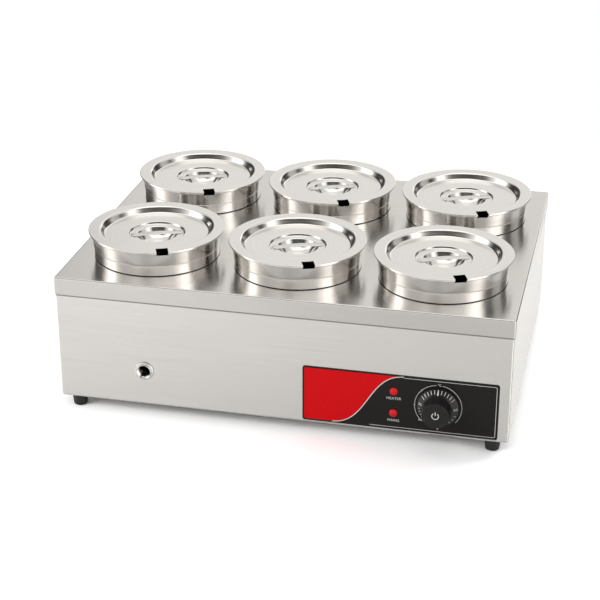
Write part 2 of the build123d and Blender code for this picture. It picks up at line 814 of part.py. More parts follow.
# Knob: flared dial skirt and round grip, hollow behind, with a D-shaped hub bore
with BuildPart() as control_knob:
    with BuildSketch(lengthwise(dial_x, panel_z)):
        with BuildLine():
            Polyline(
                (0, knob_back - knob_height),
                (knob_cap_diameter / 2, knob_back - knob_height),
                (knob_grip_diameter / 2, knob_back - knob_cone_height),
                (knob_skirt_diameter / 2, knob_back - knob_edge),
                (knob_skirt_diameter / 2, knob_back),
                (knob_skirt_diameter / 2 - knob_wall, knob_back),
                (knob_grip_diameter / 2 - knob_wall, knob_back - knob_cone_height + knob_edge),
                (knob_cap_diameter / 2 - knob_wall, knob_back - knob_height + knob_wall),
                (knob_hub_diameter / 2, knob_back - knob_height + knob_wall),
                (knob_hub_diameter / 2, knob_back - knob_hub_recess),
                (0, knob_back - knob_hub_recess),
                close=True,
            )
        make_face()
    revolve(axis=depth_axis(dial_x, panel_z))
    fillet(control_knob.edges().filter_by(GeomType.CIRCLE).sort_by(Axis.Y)[0], knob_round)
    with BuildSketch(facing(knob_back)):
        with Locations((dial_x, panel_z)):
            Circle(shaft_diameter / 2 + shaft_running_gap)
        with Locations((dial_x, panel_z + flat_offset + shaft_running_gap + shaft_diameter / 2)):
            Rectangle(2 * shaft_diameter, shaft_diameter, mode=Mode.SUBTRACT)
    extrude(amount=knob_back - shaft_end + shaft_running_gap, mode=Mode.SUBTRACT)
control_knob.part.label = "control_knob"
export_step(control_knob.part, "parts/control_knob.step")

# Sensor pocket: a closed tube in the tank wall that keeps the bulb dry
pocket_end = tank_front + pocket_length
with BuildPart() as sensor_pocket:
    with BuildSketch(facing(pocket_end)):
        with Locations((pocket_x, pocket_z)):
            Circle(pocket_diameter / 2)
    extrude(amount=pocket_length)
    with BuildSketch(facing(pocket_end - pocket_cap)):
        with Locations((pocket_x, pocket_z)):
            Circle(pocket_bore / 2)
    extrude(amount=pocket_length - pocket_cap, mode=Mode.SUBTRACT)
sensor_pocket.part.label = "sensor_pocket"
export_step(sensor_pocket.part, "parts/sensor_pocket.step")

# Temperature sensor: bulb in the pocket, capillary round to the thermostat's side
bulb_front = tank_front - bulb_proud
capillary_end_z = panel_z + thermostat_size / 4
with BuildPart() as temperature_sensor:
    with BuildSketch(facing(bulb_front + bulb_length)):
        with Locations((pocket_x, pocket_z)):
            Circle(bulb_diameter / 2)
    extrude(amount=bulb_length)
    with BuildLine() as capillary_path:
        FilletPolyline(
            (pocket_x, bulb_front, pocket_z),
            (pocket_x, wire_front, pocket_z),
            (pocket_x, wire_front, capillary_end_z),
            (dial_x - thermostat_size / 2, wire_front, capillary_end_z),
            radius=capillary_bend,
        )
    with BuildSketch(Plane(capillary_path.line @ 0, z_dir=capillary_path.line % 0)):
        Circle(capillary_diameter / 2)
    sweep(path=capillary_path.line)
temperature_sensor.part.label = "temperature_sensor"
export_step(temperature_sensor.part, "parts/temperature_sensor.step")

# Cable gland in the rear panel and its nut inside
with BuildPart() as cable_gland:
    with BuildSketch(facing(case_rear + gland_collar_thickness)):
        with Locations((gland_x, gland_z)):
            RegularPolygon(gland_collar_across / 2, 6, major_radius=False)
    extrude(amount=gland_collar_thickness)
    with BuildSketch(lengthwise(gland_x, gland_z)):
        with BuildLine():
            Polyline(
                (0, case_rear - case_sheet - gland_inside),
                (gland_thread / 2, case_rear - case_sheet - gland_inside),
                (gland_thread / 2, case_rear),
                (gland_cap_diameter / 2, case_rear + gland_collar_thickness),
                (gland_cap_diameter / 2, case_rear + gland_cap_shoulder),
                (gland_mouth_diameter / 2, case_rear + gland_proud),
                (0, case_rear + gland_proud),
                close=True,
            )
        make_face()
    revolve(axis=depth_axis(gland_x, gland_z))
    with BuildSketch(facing(case_rear + gland_proud)):
        with Locations((gland_x, gland_z)):
            Circle(gland_bore / 2)
    extrude(amount=gland_proud + case_sheet + gland_inside, mode=Mode.SUBTRACT)
cable_gland.part.label = "cable_gland"
export_step(cable_gland.part, "parts/cable_gland.step")

with BuildPart() as gland_nut:
    with BuildSketch(facing(shell_rear)):
        with Locations((gland_x, gland_z)):
            RegularPolygon(gland_nut_across / 2, 6, major_radius=False)
            Circle(gland_thread / 2 + thread_gap, mode=Mode.SUBTRACT)
    extrude(amount=gland_nut_thickness)
gland_nut.part.label = "gland_nut"
export_step(gland_nut.part, "parts/gland_nut.step")

# Terminal block on the base plate, with the ways for the supply open at its back
block_ways = [block_x + step * block_way_pitch for step in (-1, 0, 1)]
with BuildPart() as terminal_block:
    with BuildSketch(level(block_x, block_front + block_depth / 2, base_top)):
        Rectangle(block_width, block_depth)
    extrude(amount=block_height)
    with BuildSketch(facing(block_front + block_depth)):
        with Locations(*[(x, wire_z) for x in block_ways]):
            Circle(block_way_diameter / 2)
    extrude(amount=block_way_depth, mode=Mode.SUBTRACT)
    with BuildSketch(Plane.XY.offset(base_top + block_height)):
        with Locations(*[(x, block_front + block_way_diameter) for x in block_ways]):
            Circle(block_way_diameter / 2)
    extrude(amount=-block_height / 4, mode=Mode.SUBTRACT)
terminal_block.part.label = "terminal_block"
export_step(terminal_block.part, "parts/terminal_block.step")

# Earth stud and nut on the base plate
with BuildPart() as earth_stud:
    with BuildSketch(level(earth_stud_x, earth_stud_y, base_top)):
        RegularPolygon(earth_nut_across / 2, 6, major_radius=False)
    extrude(amount=earth_nut_height)
    with BuildSketch(level(earth_stud_x, earth_stud_y, base_top)):
        Circle(earth_stud_diameter / 2)
    extrude(amount=earth_stud_height)
earth_stud.part.label = "earth_stud"
export_step(earth_stud.part, "parts/earth_stud.step")

# Wires: each one a straight-run route with round turns, from face to face
pin_underside = element_z - terminal_pin_diameter / 2
link_z = panel_z - wire_diameter
wire_routes = {
    "earth_wire": [
        (block_ways[0], block_front, wire_z),
        (block_ways[0], earth_stud_y, wire_z),
        (earth_stud_x + earth_stud_diameter / 2, earth_stud_y, wire_z),
    ],
    "neutral_wire": [
        (block_ways[1], block_front, wire_z),
        (block_ways[1], neutral_turn_rear, wire_z),
        (terminal_inner_x, neutral_turn_front, wire_z),
        (terminal_inner_x, wire_front, wire_z),
        (terminal_inner_x, wire_front, pin_underside),
    ],
    "live_wire": [
        (block_ways[2], block_front, wire_z),
        (block_ways[2], wire_front, wire_z),
        (block_ways[2], wire_front, panel_z - thermostat_size / 2),
    ],
    "element_wire": [
        (dial_x - thermostat_size / 2, wire_front, link_z),
        (terminal_outer_x, wire_front, link_z),
        (terminal_outer_x, wire_front, pin_underside),
    ],
}
for wire_name, route in wire_routes.items():
    last_run = (Vector(*route[-1]) - Vector(*route[-2])).length
    with BuildPart() as wire:
        with BuildLine() as wire_path:
            FilletPolyline(*route, radius=min(wire_bend, last_run / 2))
        with BuildSketch(Plane(wire_path.line @ 0, z_dir=wire_path.line % 0)):
            Circle(wire_diameter / 2)
        sweep(path=wire_path.line)
    wire.part.label = wire_name
    export_step(wire.part, f"parts/{wire_name}.step")

# Top cover: a shallow pan over the case, with six pot holes
with BuildPart() as top_cover:
    with BuildSketch(Plane.XY.offset(cover_top - skirt_height)):
        RectangleRounded(cover_width, cover_depth, cover_corner)
    extrude(amount=skirt_height)
    fillet(top_cover.faces().sort_by(Axis.Z)[-1].edges(), cover_bend)
    offset(amount=-cover_sheet, openings=top_cover.faces().sort_by(Axis.Z)[0])
    with BuildSketch(Plane.XY.offset(cover_underside)):
        with Locations(*pot_centres):
            Circle(pot_diameter / 2 + pot_hole_gap)
    extrude(amount=cover_sheet, mode=Mode.SUBTRACT)
top_cover.part.label = "top_cover"
export_step(top_cover.part, "parts/top_cover.step")

# Pots and lids, in the order of their centres
pot_radius = pot_diameter / 2
band_top = cover_top + band_height
flare_radius = flare_diameter / 2
bead_centre = (flare_radius + rim_bead / 2 - pot_sheet / 2, pot_top - rim_bead / 2)
strap_angle = notch_angle + 90
for number, (x, y) in enumerate(pot_centres, start=1):
    # Pot: drawn tub and, welded on it, a collar with a stacking shoulder, flared to a rolled rim
    with BuildPart() as pot:
        with BuildSketch(upright(x, y)):
            with BuildLine():
                FilletPolyline(
                    (0, pot_base),
                    (pot_radius, pot_base),
                    (pot_radius, band_top),
                    (pot_radius + shoulder_step, band_top + shoulder_rise),
                    (flare_radius, bead_centre[1]),
                    radius=(pot_corner, shoulder_bend, shoulder_bend),
                )
                offset(amount=pot_sheet, side=Side.LEFT)
            make_face()
            with Locations(bead_centre):
                Circle(rim_bead / 2)
        revolve(axis=vertical_axis(x, y))
        with BuildSketch(level(x, y, pot_top - rim_cut_depth, notch_angle)):
            with Locations((lid_diameter / 2, 0)):
                Rectangle(lid_diameter / 2 - pot_radius, notch_width)
        extrude(amount=rim_cut_depth, mode=Mode.SUBTRACT)
        split(bisect_by=Plane.XY.offset(band_top - collar_seam_below_band), keep=Keep.BOTH)
    pot.part.label = f"pot_{number}"
    export_step(pot.part, f"parts/pot_{number}.step")

    # Lid: hemmed rim, step into the pot, flat disc and a dish for the fingers
    with BuildPart() as lid:
        with BuildSketch(upright(x, y)):
            with BuildLine():
                FilletPolyline(
                    (0, bowl_floor),
                    (bowl_floor_diameter / 2, bowl_floor),
                    (ledge_inner / 2, ledge_top),
                    (ledge_outer / 2, ledge_top),
                    (dish_diameter / 2, disc_top),
                    (lid_step_inner / 2, disc_top),
                    (lid_step_outer / 2, lid_top),
                    (lid_diameter / 2, lid_top),
                    radius=(bowl_bend, lid_bend, lid_bend, lid_bend, lid_bend, lid_bend),
                )
                offset(amount=lid_sheet, side=Side.RIGHT)
            make_face()
            with Locations((lid_diameter / 2 - hem_width / 2, lid_top - lid_hem / 2)):
                Rectangle(hem_width, lid_hem)
        revolve(axis=vertical_axis(x, y))
        with BuildSketch(level(x, y, disc_top - lid_sheet, notch_angle)):
            with Locations(((notch_inner_radius + lid_diameter) / 2, 0)):
                Rectangle(lid_diameter - notch_inner_radius, notch_width)
        extrude(amount=lid_drop + lid_sheet, mode=Mode.SUBTRACT)
    lid.part.label = f"lid_{number}"
    export_step(lid.part, f"parts/lid_{number}.step")

    # Lid handle: a strap across the dish, its ends welded to the ledge
    with BuildPart() as lid_handle:
        with BuildSketch(upright(x, y, strap_angle).offset(-strap_width / 2)):
            with BuildLine():
                Line((-strap_reach, ledge_top), (-strap_reach + strap_pad, ledge_top))
                ThreePointArc(
                    (-strap_reach + strap_pad, ledge_top),
                    (0, ledge_top + strap_rise),
                    (strap_reach - strap_pad, ledge_top),
                )
                Line((strap_reach - strap_pad, ledge_top), (strap_reach, ledge_top))
                offset(amount=strap_thickness, side=Side.LEFT)
            make_face()
        extrude(amount=strap_width)
        fillet(lid_handle.edges().filter_by(Axis.Z), strap_width / 2 - thread_gap)
    lid_handle.part.label = f"lid_handle_{number}"
    export_step(lid_handle.part, f"parts/lid_handle_{number}.step")
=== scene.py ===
"""Looks of a countertop wet bain-marie with six round pots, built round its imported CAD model.

Blender works in metres, +Z up.  Sizes below are in millimetres in the same frame: X runs
along the front, Y from the front to the back, and the origin is on the table under the
middle of the cover.  A piece that stands for a CAD node keeps its outline and adds the
rounded edges, rolled beads, threads, print, grain and wear of the real one.
"""

import json
import logging
import math
from dataclasses import dataclass
from enum import Enum
from functools import cache
from itertools import pairwise
from typing import Any, Callable, Sequence

import bmesh
import bpy
from mathutils import Matrix, Vector
from mathutils.geometry import tessellate_polygon


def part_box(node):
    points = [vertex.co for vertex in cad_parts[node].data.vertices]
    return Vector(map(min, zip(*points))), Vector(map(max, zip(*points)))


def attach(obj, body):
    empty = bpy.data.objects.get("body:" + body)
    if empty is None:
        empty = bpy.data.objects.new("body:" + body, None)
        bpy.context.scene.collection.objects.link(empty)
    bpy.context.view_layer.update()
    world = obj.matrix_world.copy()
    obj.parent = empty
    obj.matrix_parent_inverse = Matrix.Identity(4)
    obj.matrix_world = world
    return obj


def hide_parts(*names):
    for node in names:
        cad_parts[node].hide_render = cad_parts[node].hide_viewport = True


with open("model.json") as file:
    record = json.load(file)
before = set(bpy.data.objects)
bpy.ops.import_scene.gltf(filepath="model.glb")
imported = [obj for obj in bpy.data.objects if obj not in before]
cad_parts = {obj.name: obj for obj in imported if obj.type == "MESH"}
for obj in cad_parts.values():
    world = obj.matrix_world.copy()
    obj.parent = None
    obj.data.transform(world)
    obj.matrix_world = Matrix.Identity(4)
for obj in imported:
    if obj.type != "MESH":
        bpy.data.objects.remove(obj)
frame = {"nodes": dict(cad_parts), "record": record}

logging.basicConfig(level=logging.INFO, format="%(message)s")
log = logging.getLogger("bain_marie")

MM = 0.001
SHARP_EDGE = math.radians(38.0)
ON_AXLE = 1e-6
# Near-black tone that metals use for a band of painted shade
PAINTED_SHADE_TONE = (0.05, 0.045, 0.042, 1)
POT_NUMBERS = range(1, 7)
Point = tuple[float, float]
Spot = tuple[float, float, float]
Colour = tuple[float, float, float]
Place = Callable[[float, float, float], Spot]


# Shapes in the plane


def turned_by(point: Point, degrees: float) -> Point:
    """The point turned about the origin, counter-clockwise."""
    c, s = math.cos(math.radians(degrees)), math.sin(math.radians(degrees))
    return point[0] * c - point[1] * s, point[0] * s + point[1] * c


def arc(centre: Point, radius: float, start: float, end: float, steps: int) -> list[Point]:
    """Points on an arc.

    Args:
        centre: Middle of the arc.
        radius: Its radius.
        start: First angle in degrees.
        end: Last angle in degrees.
        steps: Number of chords.

    Returns:
        steps + 1 points.
    """
    turns = (math.radians(start + (end - start) * step / steps) for step in range(steps + 1))
    return [(centre[0] + radius * math.cos(t), centre[1] + radius * math.sin(t)) for t in turns]


def rounded(
    corners: Sequence[Point], radii: Sequence[float], steps: int = 6, support: float = 0.35
) -> list[Point]:
    """Rounds the inner corners of an open line and sets a support point beside each bend.

    Args:
        corners: The line's corners, its two ends included.
        radii: One radius for each inner corner; 0 keeps it sharp.
        steps: Chords in each bend.
        support: Distance of the support points from the bends, which keeps flats flat.

    Returns:
        The rounded line.
    """
    reach = [0.0] * len(corners)
    for index, radius in enumerate(radii, start=1):
        back = Vector(corners[index - 1]) - Vector(corners[index])
        ahead = Vector(corners[index + 1]) - Vector(corners[index])
        opening = back.angle(ahead)
        if radius > 0 and math.pi - opening > 0.02:
            reach[index] = min(
                radius / math.tan(opening / 2), 0.49 * back.length, 0.49 * ahead.length)
    free = [math.dist(*run) - sum(used) for run, used in zip(pairwise(corners), pairwise(reach))]
    line = [corners[0]]
    for index in range(1, len(corners) - 1):
        corner = Vector(corners[index])
        if not reach[index]:
            line.append(tuple(corner))
            continue
        back = (Vector(corners[index - 1]) - corner).normalized()
        ahead = (Vector(corners[index + 1]) - corner).normalized()
        half = back.angle(ahead) / 2
        middle = corner + (back + ahead).normalized() * reach[index] / math.cos(half)
        start, end = corner + back * reach[index] - middle, corner + ahead * reach[index] - middle
        sweep = start.angle_signed(end)
        before, after = (min(support, 0.35 * free[index + side]) for side in (-1, 0))
        if before > 0.03:
            line.append(tuple(corner + back * (reach[index] + before)))
        for step in range(steps + 1):
            spoke = start.copy()
            spoke.rotate(Matrix.Rotation(-sweep * step / steps, 2))
            line.append(tuple(middle + spoke))
        if after > 0.03:
            line.append(tuple(corner + ahead * (reach[index] + after)))
    line.append(corners[-1])
    return line


def shifted(corners: Sequence[Point], distance: float, closed: bool = False) -> list[Point]:
    """Shifts a line to its left by a distance, with mitred corners."""
    count = len(corners)
    result = []
    for index, corner in enumerate(corners):
        before = corners[index - 1] if index or closed else None
        after = corners[(index + 1) % count] if index < count - 1 or closed else None
        runs = []
        if before is not None:
            runs.append((Vector(corner) - Vector(before)).normalized())
        if after is not None:
            runs.append((Vector(after) - Vector(corner)).normalized())
        left = [Vector((-run.y, run.x)) for run in runs]
        normal = sum(left, Vector((0, 0))).normalized()
        miter = max(normal.dot(left[0]), 0.3)
        result.append(tuple(Vector(corner) + normal * distance / miter))
    return result


def ribbon(line: Sequence[Point], width: float) -> list[Point]:
    """Outline of a line drawn with a pen of that width."""
    return shifted(line, width / 2) + shifted(line, -width / 2)[::-1]


def bezier(start: Point, pull: Point, push: Point, end: Point, steps: int) -> list[Point]:
    """Points on a cubic curve from start to end, shaped by its two handles."""
    points = []
    for step in range(steps + 1):
        t = step / steps
        shares = ((1 - t) ** 3, 3 * t * (1 - t) ** 2, 3 * t * t * (1 - t), t**3)
        points.append(
            tuple(
                sum(
                    s * p[axis] for s, p in zip(shares, (start, pull, push, end))
                ) for axis in (0, 1)))
    return points


@dataclass(frozen=True)
class Disc:
    """A round outline."""

    centre: Point
    radius: float
    count: int = 96

    def at(self, inset: float) -> list[Point]:
        """The outline, shrunk all round by the inset."""
        return arc(self.centre, self.radius - inset, 0, 360, self.count)[:-1]


@dataclass(frozen=True)
class RoundedBox:
    """A rectangular outline with round corners."""

    centre: Point
    width: float
    height: float
    corner: float
    steps: int = 8

    def at(self, inset: float) -> list[Point]:
        """The outline, shrunk all round by the inset."""
        corner = max(self.corner - inset, 0.05)
        x, y = self.width / 2 - inset - corner, self.height / 2 - inset - corner
        loop = []
        for turn, (sx, sy) in enumerate(((1, 1), (-1, 1), (-1, -1), (1, -1))):
            middle = (self.centre[0] + sx * x, self.centre[1] + sy * y)
            loop += arc(middle, corner, 90 * turn, 90 * turn + 90, self.steps)
        return loop


@dataclass(frozen=True)
class Outline:
    """Any other closed outline, counter-clockwise."""

    points: tuple[Point, ...]

    def at(self, inset: float) -> list[Point]:
        """The outline, shrunk all round by the inset."""
        return shifted(self.points, inset, closed=True) if inset else list(self.points)


Drawn = Disc | RoundedBox | Outline


def counter_clockwise(points: Sequence[Point]) -> Outline:
    """An outline from points in either order."""
    area = sum(a[0] * b[1] - b[0] * a[1] for a, b in zip(points, list(points[1:]) + [points[0]]))
    return Outline(tuple(points if area > 0 else points[::-1]))


# Meshes


class Axle(Enum):
    """The line that a turned piece spins about."""

    UPRIGHT = "Z"
    DEPTH = "Y"

    def put(self, centre: Point) -> Place:
        """Maps a point beside the line, and its height along it, to the object's frame."""
        if self is Axle.UPRIGHT:
            return lambda a, b, h: (centre[0] + a, centre[1] + b, h)
        return lambda a, b, h: (centre[0] + a, h, centre[1] + b)


def upward(x: float, y: float, height: float) -> Spot:
    """A drawing that lies flat: its height is Z."""
    return x, y, height


def frontward(x: float, z: float, depth: float) -> Spot:
    """A drawing that faces the front: its depth is Y."""
    return x, depth, z


def linked(name: str, data: bpy.types.ID) -> bpy.types.Object:
    """A new object with that data, in the scene."""
    thing = bpy.data.objects.new(name, data)
    bpy.context.scene.collection.objects.link(thing)
    return thing


def finished(name: str, tool: bmesh.types.BMesh) -> bpy.types.Object:
    """Turns a mesh in millimetres into an object in metres with its faces outwards.

    Args:
        name: The object's name.
        tool: The mesh, which is freed.

    Returns:
        The object, at the origin, linked to the scene.
    """
    bmesh.ops.remove_doubles(tool, verts=tool.verts, dist=0.0005)
    bmesh.ops.recalc_face_normals(tool, faces=tool.faces)
    bmesh.ops.scale(tool, vec=(MM, MM, MM), verts=tool.verts)
    mesh = bpy.data.meshes.new(name)
    tool.to_mesh(mesh)
    tool.free()
    mesh.shade_smooth()
    mesh.set_sharp_from_angle(angle=SHARP_EDGE)
    return linked(name, mesh)


def skin(tool: bmesh.types.BMesh, loops: Sequence[Sequence[bmesh.types.BMVert]]) -> None:
    """Joins each closed loop of corners to the next one with four-sided faces."""
    for low, high in pairwise(loops):
        for index in range(len(low)):
            after = (index + 1) % len(low)
            tool.faces.new((low[index], low[after], high[after], high[index]))


def turned(
    name: str, section: Sequence[Point], centre: Point, axle: Axle = Axle.UPRIGHT,
    segments: int = 128, ring: bool = False
) -> bpy.types.Object:
    """Spins a section of (radius, height) points into a closed piece.

    It gets a UV map, with U once round and V along the section in metres.

    Args:
        name: The object's name.
        section: The section's points, from the axle back to the axle, or a closed ring.
        centre: Where the axle stands.
        axle: Which way it points.
        segments: Steps round.
        ring: True where the section never meets the axle.

    Returns:
        The new object.
    """
    tool = bmesh.new()
    uv = tool.loops.layers.uv.new("turned")
    put = axle.put(centre)
    lengths, walls = [0.0], []
    for a, b in pairwise(list(section) + ([section[0]] if ring else [])):
        lengths.append(lengths[-1] + math.dist(a, b))
    for radius, height in section:
        if radius < ON_AXLE:
            walls.append([tool.verts.new(put(0, 0, height))])
            continue
        turns = (math.tau * step / segments for step in range(segments))
        rings = (put(radius * math.cos(t), radius * math.sin(t), height) for t in turns)
        walls.append([tool.verts.new(spot) for spot in rings])
    if ring:
        walls.append(walls[0])
    for index, (low, high) in enumerate(pairwise(walls)):
        if len(low) == 1 and len(high) == 1:
            continue
        for step in range(segments):
            after = (step + 1) % segments
            corners = [
                (low[step % len(low)], step, index), (low[after % len(low)], step + 1, index),
                (high[after % len(high)], step + 1, index + 1),
                (high[step % len(high)], step, index + 1)]
            if len(low) == 1:
                corners.pop(1)
            elif len(high) == 1:
                corners.pop(2)
            face = tool.faces.new([corner[0] for corner in corners])
            for corner, (_, across, along) in zip(face.loops, corners):
                corner[uv].uv = (across / segments, lengths[along] * MM)
    return finished(name, tool)


def plate(
    name: str, outline: Drawn, rim: Sequence[Point], holes: Sequence[Drawn] = (),
    hole_rim: Sequence[Point] = (), put: Place = upward
) -> bpy.types.Object:
    """Makes a flat closed piece with shaped edges.

    Args:
        name: The object's name.
        outline: Its outer outline.
        rim: (inset, height) steps of the outer edge, from one face to the other.
        holes: Outlines of its holes.
        hole_rim: (growth, height) steps of the holes' edges, from one face to the other.
        put: Maps a point of the drawing and its height to the object's frame.

    Returns:
        The new object.
    """
    tool = bmesh.new()
    drawings = [[(outline.at(inset), height) for inset, height in rim]]
    for hole in holes:
        drawings.append([(hole.at(-growth), height) for growth, height in hole_rim])
    walls = [
        [[tool.verts.new(put(x, y, height)) for x, y in loop] for loop, height in drawing]
        for drawing in drawings
    ]
    for wall in walls:
        skin(tool, wall)
    for side in (0, -1):
        spots = [spot for wall in walls for spot in wall[side]]
        flat = [[Vector((x, y, 0)) for x, y in drawing[side][0]] for drawing in drawings]
        for triangle in tessellate_polygon(flat):
            tool.faces.new([spots[corner] for corner in triangle])
    return finished(name, tool)


def edge(sheet_top: float, sheet_under: float, radius: float, support: float = 0.4) -> list[Point]:
    """(inset, height) steps of a flat sheet's edge, rounded at both faces."""
    way = 1 if sheet_top > sheet_under else -1
    steps = [(radius + support, sheet_top)]
    for x, y in arc((0, 0), radius, 90, 0, 3):
        steps.append((radius - x, sheet_top - way * (radius - y)))
    for x, y in arc((0, 0), radius, 0, -90, 3):
        steps.append((radius - x, sheet_under + way * (radius + y)))
    return steps + [(radius + support, sheet_under)]


def loft(name: str, loops: Sequence[Sequence[Spot]]) -> bpy.types.Object:
    """Joins closed loops of equally many points into one piece, and closes both ends."""
    tool = bmesh.new()
    rings = [[tool.verts.new(spot) for spot in loop] for loop in loops]
    skin(tool, rings)
    tool.faces.new(rings[0])
    tool.faces.new(rings[-1])
    return finished(name, tool)


def plain_mesh(piece: bpy.types.Object) -> bpy.types.Mesh:
    """The piece's mesh as its modifiers leave it."""
    graph = bpy.context.evaluated_depsgraph_get()
    return bpy.data.meshes.new_from_object(piece.evaluated_get(graph), depsgraph=graph)


def settle(piece: bpy.types.Object) -> None:
    """Applies a piece's modifiers to its mesh and removes them."""
    mesh = plain_mesh(piece)
    piece.modifiers.clear()
    piece.data = mesh


def discard(*pieces: bpy.types.Object) -> None:
    """Removes helper objects."""
    for piece in pieces:
        bpy.data.objects.remove(piece, do_unlink=True)


def block(name: str, middle: Spot, size: Spot, turn: float = 0.0) -> bpy.types.Object:
    """A plain cutting block, turned about the vertical, used only by cut()."""
    tool = bmesh.new()
    bmesh.ops.create_cube(tool, size=1.0)
    bmesh.ops.scale(tool, vec=size, verts=tool.verts)
    bmesh.ops.rotate(tool, matrix=Matrix.Rotation(math.radians(turn), 3, "Z"), verts=tool.verts)
    bmesh.ops.translate(tool, vec=middle, verts=tool.verts)
    return finished(name, tool)


def cut(piece: bpy.types.Object, *blocks: bpy.types.Object) -> None:
    """Cuts the blocks out of the piece and removes them."""
    for tool in blocks:
        cutting = piece.modifiers.new("cut", "BOOLEAN")
        cutting.operation = "DIFFERENCE"
        cutting.solver = "EXACT"
        cutting.object = tool
        settle(piece)
        discard(tool)
    piece.data.set_sharp_from_angle(angle=SHARP_EDGE)


def joined(name: str, pieces: Sequence[bpy.types.Object]) -> bpy.types.Object:
    """One object from several meshes that lie apart; the originals go."""
    tool = bmesh.new()
    for piece in pieces:
        tool.from_mesh(piece.data)
    mesh = bpy.data.meshes.new(name)
    tool.to_mesh(mesh)
    tool.free()
    discard(*pieces)
    return linked(name, mesh)


def letters(name: str, text: str, size: float, thickness: float) -> bpy.types.Object:
    """Plain lettering as a thin closed mesh in millimetres, centred on the origin.

    Args:
        name: The object's name.
        text: Generic words or numbers.
        size: Height of a capital.
        thickness: Thickness of the print.

    Returns:
        An object whose drawing plane is XY and whose print rises from 0 to the thickness.
    """
    curve = bpy.data.curves.new(name, "FONT")
    curve.body = text
    curve.size = size / 0.7
    curve.extrude = thickness / 2
    curve.space_character = 1.08
    curve.align_x = "CENTER"
    curve.align_y = "CENTER"
    writing = linked(name, curve)
    mesh = plain_mesh(writing)
    discard(writing)
    for vertex in mesh.vertices:
        vertex.co.z += thickness / 2
    return linked(name, mesh)


def mapped(piece: bpy.types.Object, put: Place) -> bpy.types.Object:
    """Moves every point of a drawing in millimetres to the object's frame in metres."""
    tool = bmesh.new()
    tool.from_mesh(piece.data)
    for vertex in tool.verts:
        vertex.co = Vector(put(*vertex.co)) * MM
    bmesh.ops.remove_doubles(tool, verts=tool.verts, dist=1e-7)
    bmesh.ops.recalc_face_normals(tool, faces=tool.faces)
    tool.to_mesh(piece.data)
    tool.free()
    return piece


def facing(centre: Point, face: float) -> Place:
    """Sets a drawing on a face that looks to the front, round a centre."""
    return lambda x, y, z: (centre[0] + x, face - z, centre[1] + y)


# Geometry Nodes for what repeats


def opened(
    tree: bpy.types.NodeTree, inputs: dict[str, str], outputs: dict[str, str]
) -> tuple["Wiring", Any]:
    """Gives a node group its named sockets.

    Args:
        tree: The group.
        inputs: Names of its inputs, each with its kind, such as Float.
        outputs: The same for its outputs.

    Returns:
        Its wiring and the sockets that bring its inputs.
    """
    for way, names in (("INPUT", inputs), ("OUTPUT", outputs)):
        for name, kind in names.items():
            tree.interface.new_socket(name, in_out=way, socket_type=f"NodeSocket{kind}")
    wires = Wiring(tree)
    return wires, wires.add("NodeGroupInput").outputs


def grown(
    name: str, mesh: bpy.types.Mesh, tree: bpy.types.NodeTree, values: dict[str, Any]
) -> bpy.types.Object:
    """The plain mesh object that a Geometry Nodes tree makes of a mesh.

    Args:
        name: The object's name.
        mesh: What the tree starts from.
        tree: The tree.
        values: Values of its inputs by name.

    Returns:
        The object, with the tree applied.
    """
    piece = linked(name, mesh)
    modifier = piece.modifiers.new(tree.name, "NODES")
    modifier.node_group = tree
    for item in tree.interface.items_tree:
        if item.item_type == "SOCKET" and item.in_out == "INPUT" and item.name in values:
            modifier[item.identifier] = values[item.name]
    settle(piece)
    return piece


@dataclass(frozen=True)
class Repeat:
    """A node tree that sets copies of a piece at the points it is given.

    Each copy is turned about its own axis by a random angle up to a given largest turn, from a
    fixed seed.
    """

    axis: Axle = Axle.DEPTH
    seed: int = 7

    def tree(self) -> bpy.types.NodeTree:
        """Builds the tree with its named inputs."""
        tree = bpy.data.node_groups.new(f"copies_about_{self.axis.value}", "GeometryNodeTree")
        inputs = {"Geometry": "Geometry", "Piece": "Object", "Turn": "Float", "Finish": "Material"}
        wires, given = opened(tree, inputs, {"Geometry": "Geometry"})
        piece = wires.add("GeometryNodeObjectInfo", {"Object": given["Piece"]})
        chance = wires.add(
            "FunctionNodeRandomValue", {"Max": given["Turn"], "Seed": self.seed}, data_type="FLOAT")
        turn = wires.add("ShaderNodeCombineXYZ", {self.axis.value: chance.outputs[1]}).outputs[0]
        wires.copies(given["Geometry"], piece.outputs["Geometry"], turn, given["Finish"])
        return tree

    def run(
        self, name: str, piece: bpy.types.Object, spots: Sequence[Spot],
        finish: bpy.types.Material, turn: float = 0.0
    ) -> bpy.types.Object:
        """Sets copies of a piece, modelled at the origin, at the spots.

        Args:
            name: The new object's name.
            piece: What is copied; it is removed afterwards.
            spots: Places in millimetres.
            finish: Material of the copies.
            turn: Largest random turn in radians.

        Returns:
            A plain mesh object.
        """
        mesh = bpy.data.meshes.new(name)
        mesh.from_pydata([Vector(spot) * MM for spot in spots], [], [])
        values = {"Piece": piece, "Turn": turn, "Finish": finish}
        copies = grown(name, mesh, self.tree(), values)
        discard(piece)
        return copies


